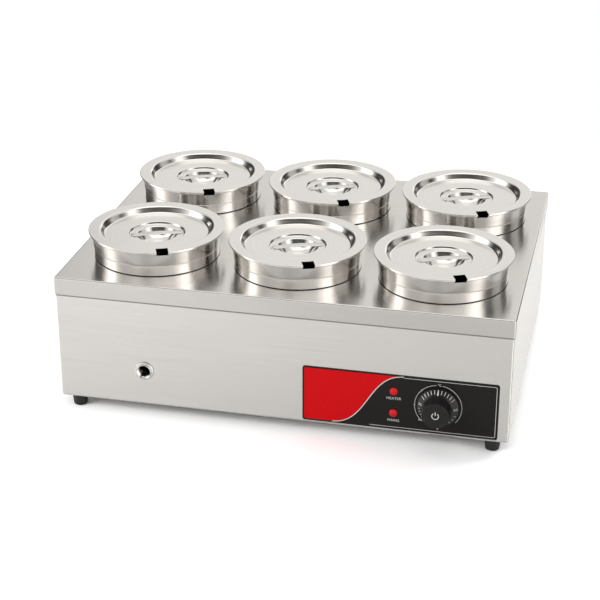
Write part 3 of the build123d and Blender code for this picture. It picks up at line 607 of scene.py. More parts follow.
@dataclass(frozen=True)
class Strokes:
    """A node tree that lays bars of one size round an arc, such as the marks of a dial."""

    count: int
    radius: float
    start: float
    sweep: float
    length: float
    width: float
    thickness: float

    def tree(self) -> bpy.types.NodeTree:
        """Builds the tree with its named inputs, in a drawing plane XY."""
        tree = bpy.data.node_groups.new("strokes", "GeometryNodeTree")
        inputs = {"Count": "Int"}
        inputs |= dict.fromkeys(
            ("Radius", "Start", "Step", "Length", "Width", "Thickness"), "Float")
        inputs["Finish"] = "Material"
        wires, given = opened(tree, inputs, {"Geometry": "Geometry"})
        points = wires.add("GeometryNodeMeshLine", {"Count": given["Count"], "Offset": (0, 0, 0)})
        index = wires.add("GeometryNodeInputIndex").outputs[0]
        angle = wires.math("ADD", given["Start"], wires.math("MULTIPLY", index, given["Step"]))
        place = wires.xyz(
            wires.math("MULTIPLY", given["Radius"], wires.math("COSINE", angle)),
            wires.math("MULTIPLY", given["Radius"], wires.math("SINE", angle)),
            wires.math("MULTIPLY", given["Thickness"], 0.5))
        spread = wires.add(
            "GeometryNodeSetPosition", {"Geometry": points.outputs[0], "Position": place})
        size = wires.xyz(given["Length"], given["Width"], given["Thickness"])
        bar = wires.add("GeometryNodeMeshCube", {"Size": size, "Vertices X": 4, "Vertices Y": 2})
        turn = wires.xyz(z=angle)
        wires.copies(spread.outputs[0], bar.outputs[0], turn, given["Finish"])
        return tree

    def drawn(self, name: str, finish: bpy.types.Material) -> bpy.types.Object:
        """The bars as a drawing in millimetres."""
        step = self.sweep / (self.count - 1) if self.count > 1 else 0.0
        values = {
            "Count": self.count, "Radius": self.radius, "Start": math.radians(self.start),
            "Step": math.radians(step), "Length": self.length, "Width": self.width,
            "Thickness": self.thickness, "Finish": finish}
        return grown(name, bpy.data.meshes.new(name), self.tree(), values)


# Shader nodes


class Wiring:
    """A node tree, with short ways of adding wired nodes to it."""

    def __init__(self, tree: bpy.types.NodeTree) -> None:
        """Keeps the tree."""
        self.tree = tree

    def add(
        self, kind: str, inputs: dict[Any, Any] | None = None, **settings: Any
    ) -> bpy.types.Node:
        """Adds a node.

        Args:
            kind: Blender's name of the node type.
            inputs: Socket name or number to a value, or to a socket that feeds it.
            **settings: The node's own properties.

        Returns:
            The node.
        """
        node = self.tree.nodes.new(kind)
        for key, value in settings.items():
            setattr(node, key, value)
        self.feed(node, inputs or {})
        return node

    def feed(self, node: bpy.types.Node, inputs: dict[Any, Any]) -> None:
        """Sets a node's inputs, each to a value or to a socket that feeds it."""
        for key, value in inputs.items():
            if isinstance(value, bpy.types.NodeSocket):
                self.tree.links.new(value, node.inputs[key])
            else:
                node.inputs[key].default_value = value

    def copies(self, points: Any, piece: Any, turn: Any, finish: Any) -> None:
        """Sets a turned piece on each point, gives all one material and puts them out."""
        placed = self.add(
            "GeometryNodeInstanceOnPoints", {"Points": points, "Instance": piece, "Rotation": turn})
        real = self.add("GeometryNodeRealizeInstances", {"Geometry": placed.outputs[0]})
        coat = self.add(
            "GeometryNodeSetMaterial", {"Geometry": real.outputs[0], "Material": finish})
        self.add("NodeGroupOutput", {"Geometry": coat.outputs[0]})

    def spot(self) -> bpy.types.NodeSocket:
        """The shaded point in the object's own coordinates."""
        return self.add("ShaderNodeTexCoord").outputs["Object"]

    def xyz(self, x: Any = 0.0, y: Any = 0.0, z: Any = 0.0) -> bpy.types.NodeSocket:
        """A vector from three numbers."""
        return self.add("ShaderNodeCombineXYZ", {0: x, 1: y, 2: z}).outputs[0]

    def split(self, vector: Any) -> Any:
        """A vector's three numbers."""
        return self.add("ShaderNodeSeparateXYZ", {0: vector}).outputs

    def bump(self, height: Any, distance: float) -> bpy.types.NodeSocket:
        """A normal bent by a height that spans the distance in metres."""
        return self.add("ShaderNodeBump", {"Height": height, "Distance": distance}).outputs[0]

    def mixed(self, factor: Any, first: Any, second: Any) -> bpy.types.NodeSocket:
        """A surface between two others."""
        return self.add("ShaderNodeMixShader", {0: factor, 1: first, 2: second}).outputs[0]

    def math(self, operation: str, *values: Any) -> bpy.types.NodeSocket:
        """A number worked out from others."""
        return self.add("ShaderNodeMath", dict(enumerate(values)), operation=operation).outputs[0]

    def clamped(self, value: Any, factor: float, offset: float = 0.0) -> bpy.types.NodeSocket:
        """value * factor + offset, held between 0 and 1."""
        return self.add(
            "ShaderNodeMath", {0: value, 1: factor, 2: offset}, operation="MULTIPLY_ADD",
            use_clamp=True).outputs[0]

    def scaled(self, vector: Any, factors: Any) -> bpy.types.NodeSocket:
        """A vector times another, axis by axis."""
        return self.add(
            "ShaderNodeVectorMath", {0: vector, 1: factors}, operation="MULTIPLY").outputs[0]

    def noise(self, vector: Any, scale: Any, detail: float = 2.0) -> bpy.types.NodeSocket:
        """Cloudy noise from 0 to 1."""
        return self.add(
            "ShaderNodeTexNoise", {"Vector": vector, "Scale": scale, "Detail": detail}).outputs[0]

    def between(self, factor: Any, low: Any, high: Any) -> bpy.types.NodeSocket:
        """A colour between two others."""
        return self.add("ShaderNodeMix", {0: factor, 6: low, 7: high}, data_type="RGBA").outputs[2]

    def remap(self, value: Any, low: float, high: float, to_low: float, to_high: float) -> Any:
        """A number carried from one range to another, held inside it."""
        return self.add(
            "ShaderNodeMapRange",
            {0: value, "From Min": low, "From Max": high, "To Min": to_low, "To Max": to_high}
        ).outputs[0]


class Effect(Enum):
    """Shader effects that several materials share, each one node group."""

    GRAIN = "brushed_grain"
    WEAR = "edge_wear"
    CLOUD = "handling_clouds"
    SPECKLE = "moulded_speckle"

    def group(self) -> bpy.types.NodeTree:
        """The effect's node group, built on first use."""
        known = bpy.data.node_groups.get(self.value)
        if known:
            return known
        tree = bpy.data.node_groups.new(self.value, "ShaderNodeTree")
        getattr(self, f"_{self.name.lower()}")(tree)
        return tree

    def _sockets(
        self, tree: bpy.types.NodeTree, inputs: dict[str, Any], outputs: Sequence[str]
    ) -> tuple[Wiring, Any, bpy.types.Node]:
        """Gives the group its sockets and returns its wiring, its inputs and its output node."""
        kinds = {name: "Float" if default else "Vector" for name, default in inputs.items()}
        wires, given = opened(tree, kinds, dict.fromkeys(outputs, "Float"))
        for item in tree.interface.items_tree:
            if inputs.get(item.name):
                item.default_value = inputs[item.name]
        return wires, given, wires.add("NodeGroupOutput")

    def _grain(self, tree: bpy.types.NodeTree) -> None:
        """Fine scratches drawn out along one direction of an already stretched vector."""
        wires, given, out = self._sockets(
            tree, {"Vector": None, "Contrast": 1.0}, ("Streaks", "Height"))
        broad = wires.noise(given["Vector"], 1.0, 3.0)
        fine = wires.noise(wires.scaled(given["Vector"], (1.9, 5.3, 5.3)), 1.0, 2.0)
        both = wires.math("MULTIPLY_ADD", broad, 0.55, wires.math("MULTIPLY", fine, 0.45))
        spread = wires.math("MULTIPLY", wires.math("SUBTRACT", both, 0.5), given["Contrast"])
        wires.feed(out, {"Streaks": wires.clamped(spread, 2.2, 0.5), "Height": fine})

    def _wear(self, tree: bpy.types.NodeTree) -> None:
        """A mask of edges that hands and cloths have polished."""
        wires, given, out = self._sockets(
            tree, {"Vector": None, "Radius": 0.0008, "Amount": 1.0}, ("Mask",))
        soft = wires.add("ShaderNodeBevel", {"Radius": given["Radius"]}, samples=4)
        hard = wires.add("ShaderNodeNewGeometry")
        turn = wires.add(
            "ShaderNodeVectorMath", {0: soft.outputs[0], 1: hard.outputs["Normal"]},
            operation="DOT_PRODUCT").outputs["Value"]
        rub = wires.noise(given["Vector"], 160.0, 3.0)
        edge_share = wires.clamped(wires.math("SUBTRACT", 1.0, turn), 6.0)
        worn = wires.math("MULTIPLY", edge_share, wires.clamped(rub, 2.4, -0.6))
        wires.feed(out, {"Mask": wires.math("MULTIPLY", worn, given["Amount"])})

    def _cloud(self, tree: bpy.types.NodeTree) -> None:
        """Large faint patches, such as wiping leaves."""
        wires, given, out = self._sockets(
            tree, {"Vector": None, "Scale": 9.0}, ("Patches", "Spots"))
        large = wires.noise(given["Vector"], given["Scale"], 3.0)
        small = wires.noise(given["Vector"], wires.math("MULTIPLY", given["Scale"], 7.0), 4.0)
        patches, spots = wires.clamped(large, 1.8, -0.4), wires.clamped(small, 2.6, -0.9)
        wires.feed(out, {"Patches": patches, "Spots": spots})

    def _speckle(self, tree: bpy.types.NodeTree) -> None:
        """The fine pebbling of moulded plastic and rubber."""
        wires, given, out = self._sockets(
            tree, {"Vector": None, "Scale": 2200.0}, ("Tone", "Height"))
        cells = wires.add(
            "ShaderNodeTexVoronoi", {"Vector": given["Vector"], "Scale": given["Scale"]})
        dots = wires.noise(given["Vector"], wires.math("MULTIPLY", given["Scale"], 0.35), 3.0)
        height = wires.math("ADD", cells.outputs["Distance"], dots)
        wires.feed(out, {"Tone": dots, "Height": height})


def effect(wires: Wiring, kind: Effect, **inputs: Any) -> Any:
    """Places a shared effect in a material, fed by name, and returns its outputs."""
    return wires.add("ShaderNodeGroup", inputs, node_tree=kind.group()).outputs


def tint(colour: Colour, factor: float, lift: float = 0.0) -> tuple[float, float, float, float]:
    """The colour, made darker or lighter."""
    return tuple(min(c * factor + lift, 1.0) for c in colour) + (1,)


def new_surface(name: str) -> tuple[bpy.types.Material, Wiring, bpy.types.Node]:
    """An empty material with its wiring and its Principled shader."""
    material = bpy.data.materials.new(f"{name}_finish")
    material.use_nodes = True
    material.node_tree.nodes.clear()
    wires = Wiring(material.node_tree)
    shader = wires.add("ShaderNodeBsdfPrincipled")
    wires.add("ShaderNodeOutputMaterial", {"Surface": shader.outputs[0]})
    return material, wires, shader


class Grain(Enum):
    """How a metal surface was brushed."""

    ALONG = "sheet brushed along its long side"
    TURNED = "brushed while it spun"
    CAST = "no direction"


@dataclass(frozen=True)
class Metal:
    """A metal finish: its tone, how rough it is, how it was brushed, and an optional band of
    painted shade.
    """

    name: str
    colour: Colour
    roughness: float
    grain: Grain = Grain.ALONG
    stretch: float = 0.55
    contrast: float = 1.0
    relief: float = 0.00001
    across: float = 420.0
    along: float = 7.0
    wear: float = 0.6
    # Band of painted shade: the colour is darkened towards the near-black tone along one object
    # axis
    painted_shade: tuple[int, float, float, float, float] | None = None  # axis, middle, half, fade, share
    tones: tuple[float, float, float, float] = (0.86, 1.1, 0.8, 1.22)  # dark, light, wiped, worn
    wiping: float = 0.06
    gloss_of_streaks: float = 0.06
    gloss_of_wear: float = 0.08
    dull_spots: float = 0.012
    spin: float = 0.16

    def _direction(self, wires: Wiring) -> tuple[Any, Any]:
        """Coordinates drawn out along the brushing, and the tangent if it has a direction."""
        seen = wires.spot()
        if self.grain is Grain.TURNED:
            uv = wires.add("ShaderNodeUVMap", uv_map="turned").outputs[0]
            split = wires.split(uv)
            turn = wires.math("MULTIPLY", split[0], math.tau)
            spin = wires.xyz(
                wires.math("MULTIPLY", wires.math("COSINE", turn), self.along * self.spin),
                wires.math("MULTIPLY", wires.math("SINE", turn), self.along * self.spin),
                wires.math("MULTIPLY", split[1], self.across))
            tangent = wires.add("ShaderNodeTangent", direction_type="UV_MAP", uv_map="turned")
            return spin, tangent.outputs[0]
        if self.grain is Grain.CAST:
            return wires.scaled(seen, (self.across,) * 3), None
        normal = wires.add("ShaderNodeNewGeometry").outputs["Normal"]
        side = wires.math("GREATER_THAN", wires.math("ABSOLUTE", wires.split(normal)[0]), 0.7)
        front = (self.along, self.across, self.across)
        flank = (self.across, self.along, self.across)
        lengths = {0: side, 4: front, 5: flank}
        stretch = wires.add("ShaderNodeMix", lengths, data_type="VECTOR").outputs[1]
        axes = {0: side, 4: (1, 0, 0), 5: (0, 1, 0)}
        tangent = wires.add("ShaderNodeMix", axes, data_type="VECTOR").outputs[1]
        return wires.scaled(seen, stretch), tangent

    def material(self) -> bpy.types.Material:
        """Builds the finish."""
        material, wires, shader = new_surface(self.name)
        drawn_out, tangent = self._direction(wires)
        look = {"Metallic": 1.0}
        if tangent is not None:
            look |= {"Anisotropic": self.stretch, "Anisotropic Rotation": 0.25, "Tangent": tangent}
        spot = wires.spot()
        grain = effect(wires, Effect.GRAIN, Vector=drawn_out, Contrast=self.contrast)
        cloud = effect(wires, Effect.CLOUD, Vector=spot)
        worn = effect(wires, Effect.WEAR, Vector=spot, Amount=self.wear)["Mask"]
        dark, light, dull, bright = (tint(self.colour, factor) for factor in self.tones)
        wiped = wires.math("MULTIPLY", cloud["Patches"], self.wiping)
        dulled = wires.between(wiped, wires.between(grain["Streaks"], dark, light), dull)
        tone = wires.between(worn, dulled, bright)
        # Painted shade: inside the band the colour is pulled towards a near-black tone
        if self.painted_shade:
            axis, middle, half, fade, share = self.painted_shade
            off = wires.math("ABSOLUTE", wires.math("SUBTRACT", wires.split(spot)[axis], middle))
            painted_shade_share = wires.remap(off, half - fade, half, share, 0.0)
            tone = wires.between(painted_shade_share, tone, PAINTED_SHADE_TONE)
        rough = wires.math(
            "ADD",
            wires.math(
                "MULTIPLY_ADD", grain["Streaks"], -self.gloss_of_streaks,
                self.roughness + self.gloss_of_streaks / 2),
            wires.math(
                "MULTIPLY_ADD", cloud["Spots"], self.dull_spots,
                wires.math("MULTIPLY", worn, -self.gloss_of_wear)))
        look |= {"Base Color": tone, "Roughness": wires.clamped(rough, 1.0)}
        wires.feed(shader, look | {"Normal": wires.bump(grain["Height"], self.relief)})
        return material


@dataclass(frozen=True)
class Moulding:
    """A plastic, rubber or ceramic finish with its pebbled skin."""

    name: str
    colour: Colour
    roughness: float
    specular: float = 0.5
    scale: float = 1500.0
    relief: float = 0.00004
    worn_tone: float = 1.8
    tones: tuple[float, float] = (0.8, 1.2)
    wiped: float = 0.12

    def material(self) -> bpy.types.Material:
        """Builds the finish."""
        material, wires, shader = new_surface(self.name)
        spot = wires.spot()
        speckle = effect(wires, Effect.SPECKLE, Vector=spot, Scale=self.scale)
        cloud = effect(wires, Effect.CLOUD, Vector=spot, Scale=30.0)
        worn = effect(wires, Effect.WEAR, Vector=spot, Radius=0.0006, Amount=0.5)["Mask"]
        dark, light = (tint(self.colour, factor) for factor in self.tones)
        skin_tone = wires.between(speckle["Tone"], dark, light)
        tone = wires.between(worn, skin_tone, tint(self.colour, self.worn_tone, 0.01))
        rough = wires.math(
            "MULTIPLY_ADD", cloud["Patches"], self.wiped, self.roughness - self.wiped / 3)
        look = {"Specular IOR Level": self.specular, "Base Color": tone}
        look |= {"Roughness": wires.clamped(rough, 1.0)}
        wires.feed(shader, look | {"Normal": wires.bump(speckle["Height"], self.relief)})
        return material


@dataclass(frozen=True)
class Ink:
    """A screen-printed layer: even colour with pinholes and a slightly uneven film."""

    name: str
    colour: Colour
    roughness: float = 0.32
    specular: float = 0.1
    relief: float = 0.0000008
    tones: tuple[float, float] = (0.93, 1.06)
    pinholes: float = 0.4

    def material(self) -> bpy.types.Material:
        """Builds the finish."""
        material, wires, shader = new_surface(self.name)
        spot = wires.spot()
        cloud = effect(wires, Effect.CLOUD, Vector=spot, Scale=22.0)
        mesh = effect(wires, Effect.SPECKLE, Vector=spot, Scale=2600.0)
        pinholes = wires.math("MULTIPLY", mesh["Tone"], self.pinholes)
        film = wires.math("MULTIPLY_ADD", cloud["Patches"], 1 - self.pinholes, pinholes)
        dark, light = (tint(self.colour, factor) for factor in self.tones)
        tone = wires.between(film, dark, light)
        rough = wires.math("MULTIPLY_ADD", cloud["Spots"], 0.1, self.roughness - 0.03)
        look = {"Specular IOR Level": self.specular, "Base Color": tone}
        look |= {"Roughness": wires.clamped(rough, 1.0)}
        wires.feed(shader, look | {"Normal": wires.bump(mesh["Height"], self.relief)})
        return material


@dataclass(frozen=True)
class Lens:
    """Tinted clear plastic over a small lamp, with a weak painted glow."""

    name: str
    colour: Colour
    roughness: float = 0.12
    depth: float = 0.55
    # Strength of the painted glow: the lens emits its own tint
    painted_glow: float = 0.12

    def material(self) -> bpy.types.Material:
        """Builds the finish."""
        material, wires, shader = new_surface(self.name)
        cloud = effect(wires, Effect.CLOUD, Vector=wires.spot(), Scale=120.0)
        graze = wires.add("ShaderNodeLayerWeight", {"Blend": 0.35}).outputs["Facing"]
        deep = tint(self.colour, self.depth)
        body = wires.between(wires.clamped(graze, 1.2), tint(self.colour, 1.0), deep)
        tinted = wires.between(wires.math("MULTIPLY", cloud["Patches"], 0.3), body, deep)
        look = {"Specular IOR Level": 0.15, "Coat Weight": 0.2, "Coat Roughness": 0.04}
        # Painted glow: the lens emits its own tint, which brightens it like light
        look |= {"Base Color": tinted, "Emission Color": tinted, "Emission Strength": self.painted_glow}
        rough = wires.math("MULTIPLY_ADD", cloud["Spots"], 0.08, self.roughness)
        wires.feed(shader, look | {"Roughness": rough})
        return material


LOOKS = (
    # The case's colour carries painted shade: a dark band just under the cover skirt's foot, where
    # the crevice is shaded
    Metal(
        "case_steel", (0.83, 0.815, 0.79), 0.22, along=5.0, across=380.0, contrast=0.4,
        relief=0.000002, painted_shade=(2, 0.1993, 0.0016, 0.001, 0.75)),
    Metal("cover_steel", (0.72, 0.705, 0.685), 0.2, stretch=0.7, along=6.0, contrast=0.4),
    Metal("inner_steel", (0.55, 0.55, 0.54), 0.36, contrast=1.2),
    Metal(
        "pot_steel", (0.78, 0.76, 0.735), 0.16, Grain.TURNED, stretch=0.6, across=900.0,
        contrast=0.6),
    Metal(
        "lid_steel", (0.82, 0.805, 0.785), 0.16, Grain.TURNED, stretch=0.4, across=900.0,
        contrast=0.6),
    Metal("handle_steel", (0.74, 0.73, 0.71), 0.14, stretch=0.3, contrast=0.6),
    # The drain's colour carries painted shade: near-black inside the bore from just behind its
    # mouth, where the tube lies in shade
    Metal(
        "drain_chrome", (0.78, 0.77, 0.75), 0.12, Grain.TURNED, stretch=0.2, across=1500.0,
        contrast=0.5, painted_shade=(1, -0.2555, 0.025, 0.006, 1.0)),
    Metal("zinc_steel", (0.55, 0.56, 0.58), 0.3, Grain.CAST, across=500.0),
    Metal("element_sheath", (0.3, 0.27, 0.25), 0.45, Grain.CAST, across=300.0),
    Metal("brass", (0.72, 0.52, 0.24), 0.25, Grain.CAST, across=500.0),
    Metal("sensor_copper", (0.72, 0.4, 0.27), 0.28, Grain.CAST, across=500.0),
    Moulding("foot_rubber", (0.018, 0.018, 0.018), 0.55, scale=1100.0),
    Moulding("seal_rubber", (0.05, 0.045, 0.045), 0.6),
    Moulding("panel_black", (0.0125, 0.011, 0.0105), 0.3, specular=0.2, relief=0.000001),
    Moulding("knob_black", (0.011, 0.01, 0.01), 0.3, specular=0.35, scale=1900.0, relief=0.00001),
    Moulding("inner_plastic", (0.06, 0.06, 0.06), 0.45),
    Moulding("gland_black", (0.03, 0.03, 0.03), 0.42, scale=1200.0),
    Moulding("block_white", (0.75, 0.73, 0.67), 0.4, worn_tone=0.9),
    Moulding("wire_green", (0.1, 0.36, 0.05), 0.4, worn_tone=1.1),
    Moulding("wire_blue", (0.03, 0.1, 0.42), 0.4, worn_tone=1.1),
    Moulding("wire_brown", (0.17, 0.07, 0.03), 0.4, worn_tone=1.1),
    Ink("print_white", (0.74, 0.74, 0.72)), Ink("print_red", (0.7, 0.0035, 0.007), 0.3),
    Lens("lamp_lens_upper", (0.7, 0.012, 0.012)), Lens("lamp_lens_lower", (0.7, 0.012, 0.012)))
FINISHES = {look.name: look for look in LOOKS}


@cache
def finish(name: str) -> bpy.types.Material:
    """A finish's material, built on first use."""
    return FINISHES[name].material()


def mount(
    piece: bpy.types.Object, body: str, slot: str, *nodes: str, look: str | None = None
) -> bpy.types.Object:
    """Dresses a finished piece, parents it to its body and hides the CAD nodes it stands for.

    Args:
        piece: The finished mesh object.
        body: The CAD body that it rides on.
        slot: The record's material slot.
        *nodes: CAD nodes that it stands for.
        look: Its finish, where that isn't the slot's own.

    Returns:
        The piece.
    """
    piece.data.materials.clear()
    piece.data.materials.append(finish(look or slot))
    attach(piece, body)
    if nodes:
        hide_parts(*nodes)
    log.info("%s rides on %s, %d faces", piece.name, body, len(piece.data.polygons))
    return piece


def middle_of(node: str) -> Spot:
    """Centre of a CAD node at rest, in millimetres."""
    low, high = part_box(node)
    return tuple((a + b) / 2 / MM for a, b in zip(low, high))


def pot_middle(number: int) -> Point:
    """Where the upright middle line of a pot and its lid stands."""
    return middle_of(f"lid_handle_{number}")[:2]


def notched(
    piece: bpy.types.Object, centre: Point, reach: float, height: float, size: Spot, turn: float
) -> None:
    """Cuts the ladle's notch into a pot or a lid.

    Args:
        piece: The pot or lid.
        centre: Where its middle line stands.
        reach: Distance of the cutting block's middle from that line.
        height: Height of the block's middle.
        size: The block's size.
        turn: Direction of the notch in degrees.
    """
    dx, dy = turned_by((reach, 0), turn)
    cut(piece, block("cutter", (centre[0] + dx, centre[1] + dy, height), size, turn))


# Sub-assemblies


@dataclass
class Pots:
    """Six pots, each with a stacking shoulder and a rolled rim cut for the ladle."""

    radius: float = 100.0
    base: float = 109.0
    seat: float = 229.4
    seat_rise: float = 1.8
    band: float = 102.4
    band_top: float = 247.0
    shoulder: float = 1.2
    shoulder_rise: float = 1.8
    flare: float = 105.6
    top: float = 274.0
    sheet: float = 0.8
    bead: float = 2.2
    floor_bend: float = 8.0
    notch_angle: float = -68.0
    notch_width: float = 19.0
    notch_depth: float = 7.0
    notch_from: float = 100.0
    lean: float = 0.3

    def section(self) -> list[Point]:
        """The pot's section, from the middle of its underside to the middle of its floor."""
        bead_middle = (self.flare - self.sheet / 2 + self.bead, self.top - self.bead)
        outer = rounded(
            [
                (0, self.base), (self.radius, self.base), (self.radius, self.seat),
                (self.band, self.seat + self.seat_rise), (self.band + self.lean, self.band_top),
                (self.band + self.shoulder, self.band_top + self.shoulder_rise),
                (self.flare, self.top - self.bead - 1.27)],
            (self.floor_bend, 0.6, 0.9, 0.8, 1.0), steps=7)
        roll = arc(bead_middle, self.bead, 215, 480, 22)
        inner = rounded(
            [
                roll[-1], (self.flare - self.sheet, self.top - self.bead + 0.4),
                (self.band + self.shoulder - self.sheet, self.band_top + self.shoulder_rise),
                (self.band + self.lean - self.sheet, self.band_top),
                (self.band - self.sheet, self.seat + self.seat_rise),
                (self.radius - self.sheet, self.seat),
                (self.radius - self.sheet, self.base + self.sheet), (0, self.base + self.sheet)],
            (0.6, 0.8, 0.8, 0.8, 0.8, self.floor_bend - self.sheet), steps=6)
        return outer[:-1] + roll[:-1] + inner

    def build(self) -> None:
        """Builds and mounts the six pots."""
        size = (20, self.notch_width, 2 * self.notch_depth)
        for number in POT_NUMBERS:
            centre = pot_middle(number)
            pot = turned(f"pot_{number}_drawn", self.section(), centre, segments=160)
            notched(pot, centre, self.notch_from + size[0] / 2, self.top, size, self.notch_angle)
            mount(pot, f"pot_body_{number}", "pot_steel", f"pot_{number}")


@dataclass
class Lids:
    """Six turned lids with a hemmed rim, a step, a finger dish and a welded strap."""

    radius: float = 111.0
    top: float = 275.0
    sheet: float = 1.0
    hem: float = 1.6
    hem_width: float = 1.5
    step_outer: float = 91.5
    step_inner: float = 85.5
    drop: float = 10.0
    dish: float = 46.0
    ledge_outer: float = 44.0
    ledge_inner: float = 33.0
    ledge_drop: float = 3.0
    bowl_floor: float = 20.0
    bowl_depth: float = 16.0
    notch_from: float = 91.0
    notch_over: float = 10.0
    notch_height: float = 16.0
    notch_sink: float = 4.0
    notch_width: float = 19.0
    notch_angle: float = -68.0
    strap_width: float = 13.0
    strap_reach: float = 42.5
    strap_pad: float = 6.0
    strap_rise: float = 1.5
    strap_sheet: float = 1.2
    bends: tuple[float, ...] = (16.0, 2.6, 1.4, 1.6, 4.0, 5.5)
    under_bends: tuple[float, ...] = (1.2, 1.0, 0.6, 2.4, 1.2, 7.0)

    def __post_init__(self) -> None:
        """Works out the levels that follow from the sizes."""
        self.disc = self.top - self.drop
        self.ledge = self.disc - self.ledge_drop
        self.bottom = self.ledge - self.bowl_depth

    def section(self) -> list[Point]:
        """The lid's section, over its top, round its hem and back under."""
        face = [
            (0, self.bottom), (self.bowl_floor, self.bottom), (self.ledge_inner, self.ledge),
            (self.ledge_outer, self.ledge), (self.dish, self.disc), (self.step_inner, self.disc),
            (self.step_outer, self.top), (self.radius, self.top)]
        over = rounded(face, self.bends, steps=7)[:-1]
        under = shifted(face, -self.sheet)[:-1]
        hem_inner, hem_foot = self.radius - self.hem_width, self.top - self.hem - 0.1
        rim = rounded(
            [
                (self.step_outer + 6, self.top), (self.radius, self.top), (self.radius, hem_foot),
                (hem_inner, hem_foot), (hem_inner, self.top - self.sheet),
                (self.step_outer + 6, self.top - self.sheet)],
            (0.75, 0.75, 0.3, 0.2), steps=6, support=0.25)
        back = rounded([rim[-1]] + under[::-1], self.under_bends, steps=5)
        return over + rim[:-1] + back

    def strap(self, name: str, centre: Point) -> bpy.types.Object:
        """The handle: a thin strap with round ends, arched across the dish."""
        half, flat_end = self.strap_width / 2, self.strap_reach - self.strap_width / 2
        angles = [math.radians(step) for step in (88, 75, 60, 45, 30, 15)]
        stations = [(-flat_end - half * math.sin(a), half * math.cos(a)) for a in angles]
        ends = [(-x, width) for x, width in stations[::-1]]
        stations += [(-flat_end + 2 * flat_end * step / 28, half) for step in range(29)] + ends
        span = self.strap_reach - self.strap_pad
        loops = []
        for x, width in stations:
            share = min(abs(x) / span, 1.0)
            low = self.ledge + self.strap_rise * (1 - share**2) ** 2
            bend = min(0.45, width * 0.5)
            top, under = low + self.strap_sheet - bend, low + bend
            ring = []
            for side, level, start in (
                (1, top, 0), (-1, top, 90), (-1, under, 180), (1, under, 270)):
                for angle in (math.radians(start + step) for step in (0, 45, 90)):
                    across = side * (width - bend) + bend * math.cos(angle)
                    dx, dy = turned_by((x, across), self.notch_angle + 90)
                    ring.append((centre[0] + dx, centre[1] + dy, level + bend * math.sin(angle)))
            loops.append(ring)
        return loft(name, loops)

    def welds(self, name: str, centre: Point) -> bpy.types.Object:
        """A spot-weld dimple at each end of the strap."""
        section = [(0, 0.12), (1.0, 0.12), (1.5, 0.28), (2.0, 0.28), (2.3, -0.1), (0, -0.1)]
        section = rounded(section, (0.3, 0.2, 0.2, 0.1), 3, 0.0)
        dimple = turned("dimple", section, (0, 0), segments=20)
        spots = []
        for reach in (self.strap_pad - self.strap_reach, self.strap_reach - self.strap_pad):
            dx, dy = turned_by((reach, 0), self.notch_angle + 90)
            spots.append((centre[0] + dx, centre[1] + dy, self.ledge + self.strap_sheet))
        return Repeat(Axle.UPRIGHT).run(name, dimple, spots, finish("handle_steel"))

    def build(self) -> None:
        """Builds and mounts the six lids with their handles."""
        length = self.radius - self.notch_from + self.notch_over
        reach, size = self.notch_from + length / 2, (length, self.notch_width, self.notch_height)
        for number in POT_NUMBERS:
            centre, body = pot_middle(number), f"lid_body_{number}"
            lid = turned(f"lid_{number}_turned", self.section(), centre, segments=160)
            notched(lid, centre, reach, self.top - self.notch_sink, size, self.notch_angle)
            mount(lid, body, "lid_steel", f"lid_{number}")
            handle = f"lid_handle_{number}"
            mount(self.strap(f"{handle}_strap", centre), body, "handle_steel", handle)
            mount(self.welds(f"{handle}_welds", centre), body, "handle_steel")


@dataclass
class Cover:
    """The lift-off top: a shallow pan with six round holes."""

    width: float = 735.0
    depth: float = 558.0
    top: float = 230.0
    sheet: float = 1.0
    skirt: float = 30.0
    bend: float = 2.5
    corner: float = 3.0
    hole: float = 102.5
    edge_round: float = 0.3

    def build(self) -> None:
        """Builds and mounts the cover."""
        outer = arc((0, 0), self.bend, 90, 0, 6)
        inner = arc((0, 0), self.bend - self.sheet, 0, 90, 5)
        foot = self.top - self.skirt
        rim = [(self.bend + 1.0, self.top)]
        rim += [(self.bend - x, self.top - self.bend + y) for x, y in outer]
        rim += [(0, self.top - self.bend - 1.0), (0, foot + 1.6), (0, foot + 0.6)]
        rim += [(0.12, foot + 0.12), (0.5, foot), (self.sheet - 0.12, foot + 0.12)]
        rim += [(self.sheet, foot + 0.6), (self.sheet, foot + 1.6)]
        rim += [(self.sheet, self.top - self.bend - 1.0)]
        rim += [(self.bend - x, self.top - self.bend + y) for x, y in inner]
        rim += [(self.bend + 1.0, self.top - self.sheet)]
        holes = [Disc(pot_middle(number), self.hole, 128) for number in POT_NUMBERS]
        cover = plate(
            "top_cover_pressed", RoundedBox((0, 0), self.width, self.depth, self.corner), rim,
            holes, edge(self.top, self.top - self.sheet, self.edge_round))
        mount(cover, "cover", "cover_steel", "top_cover")


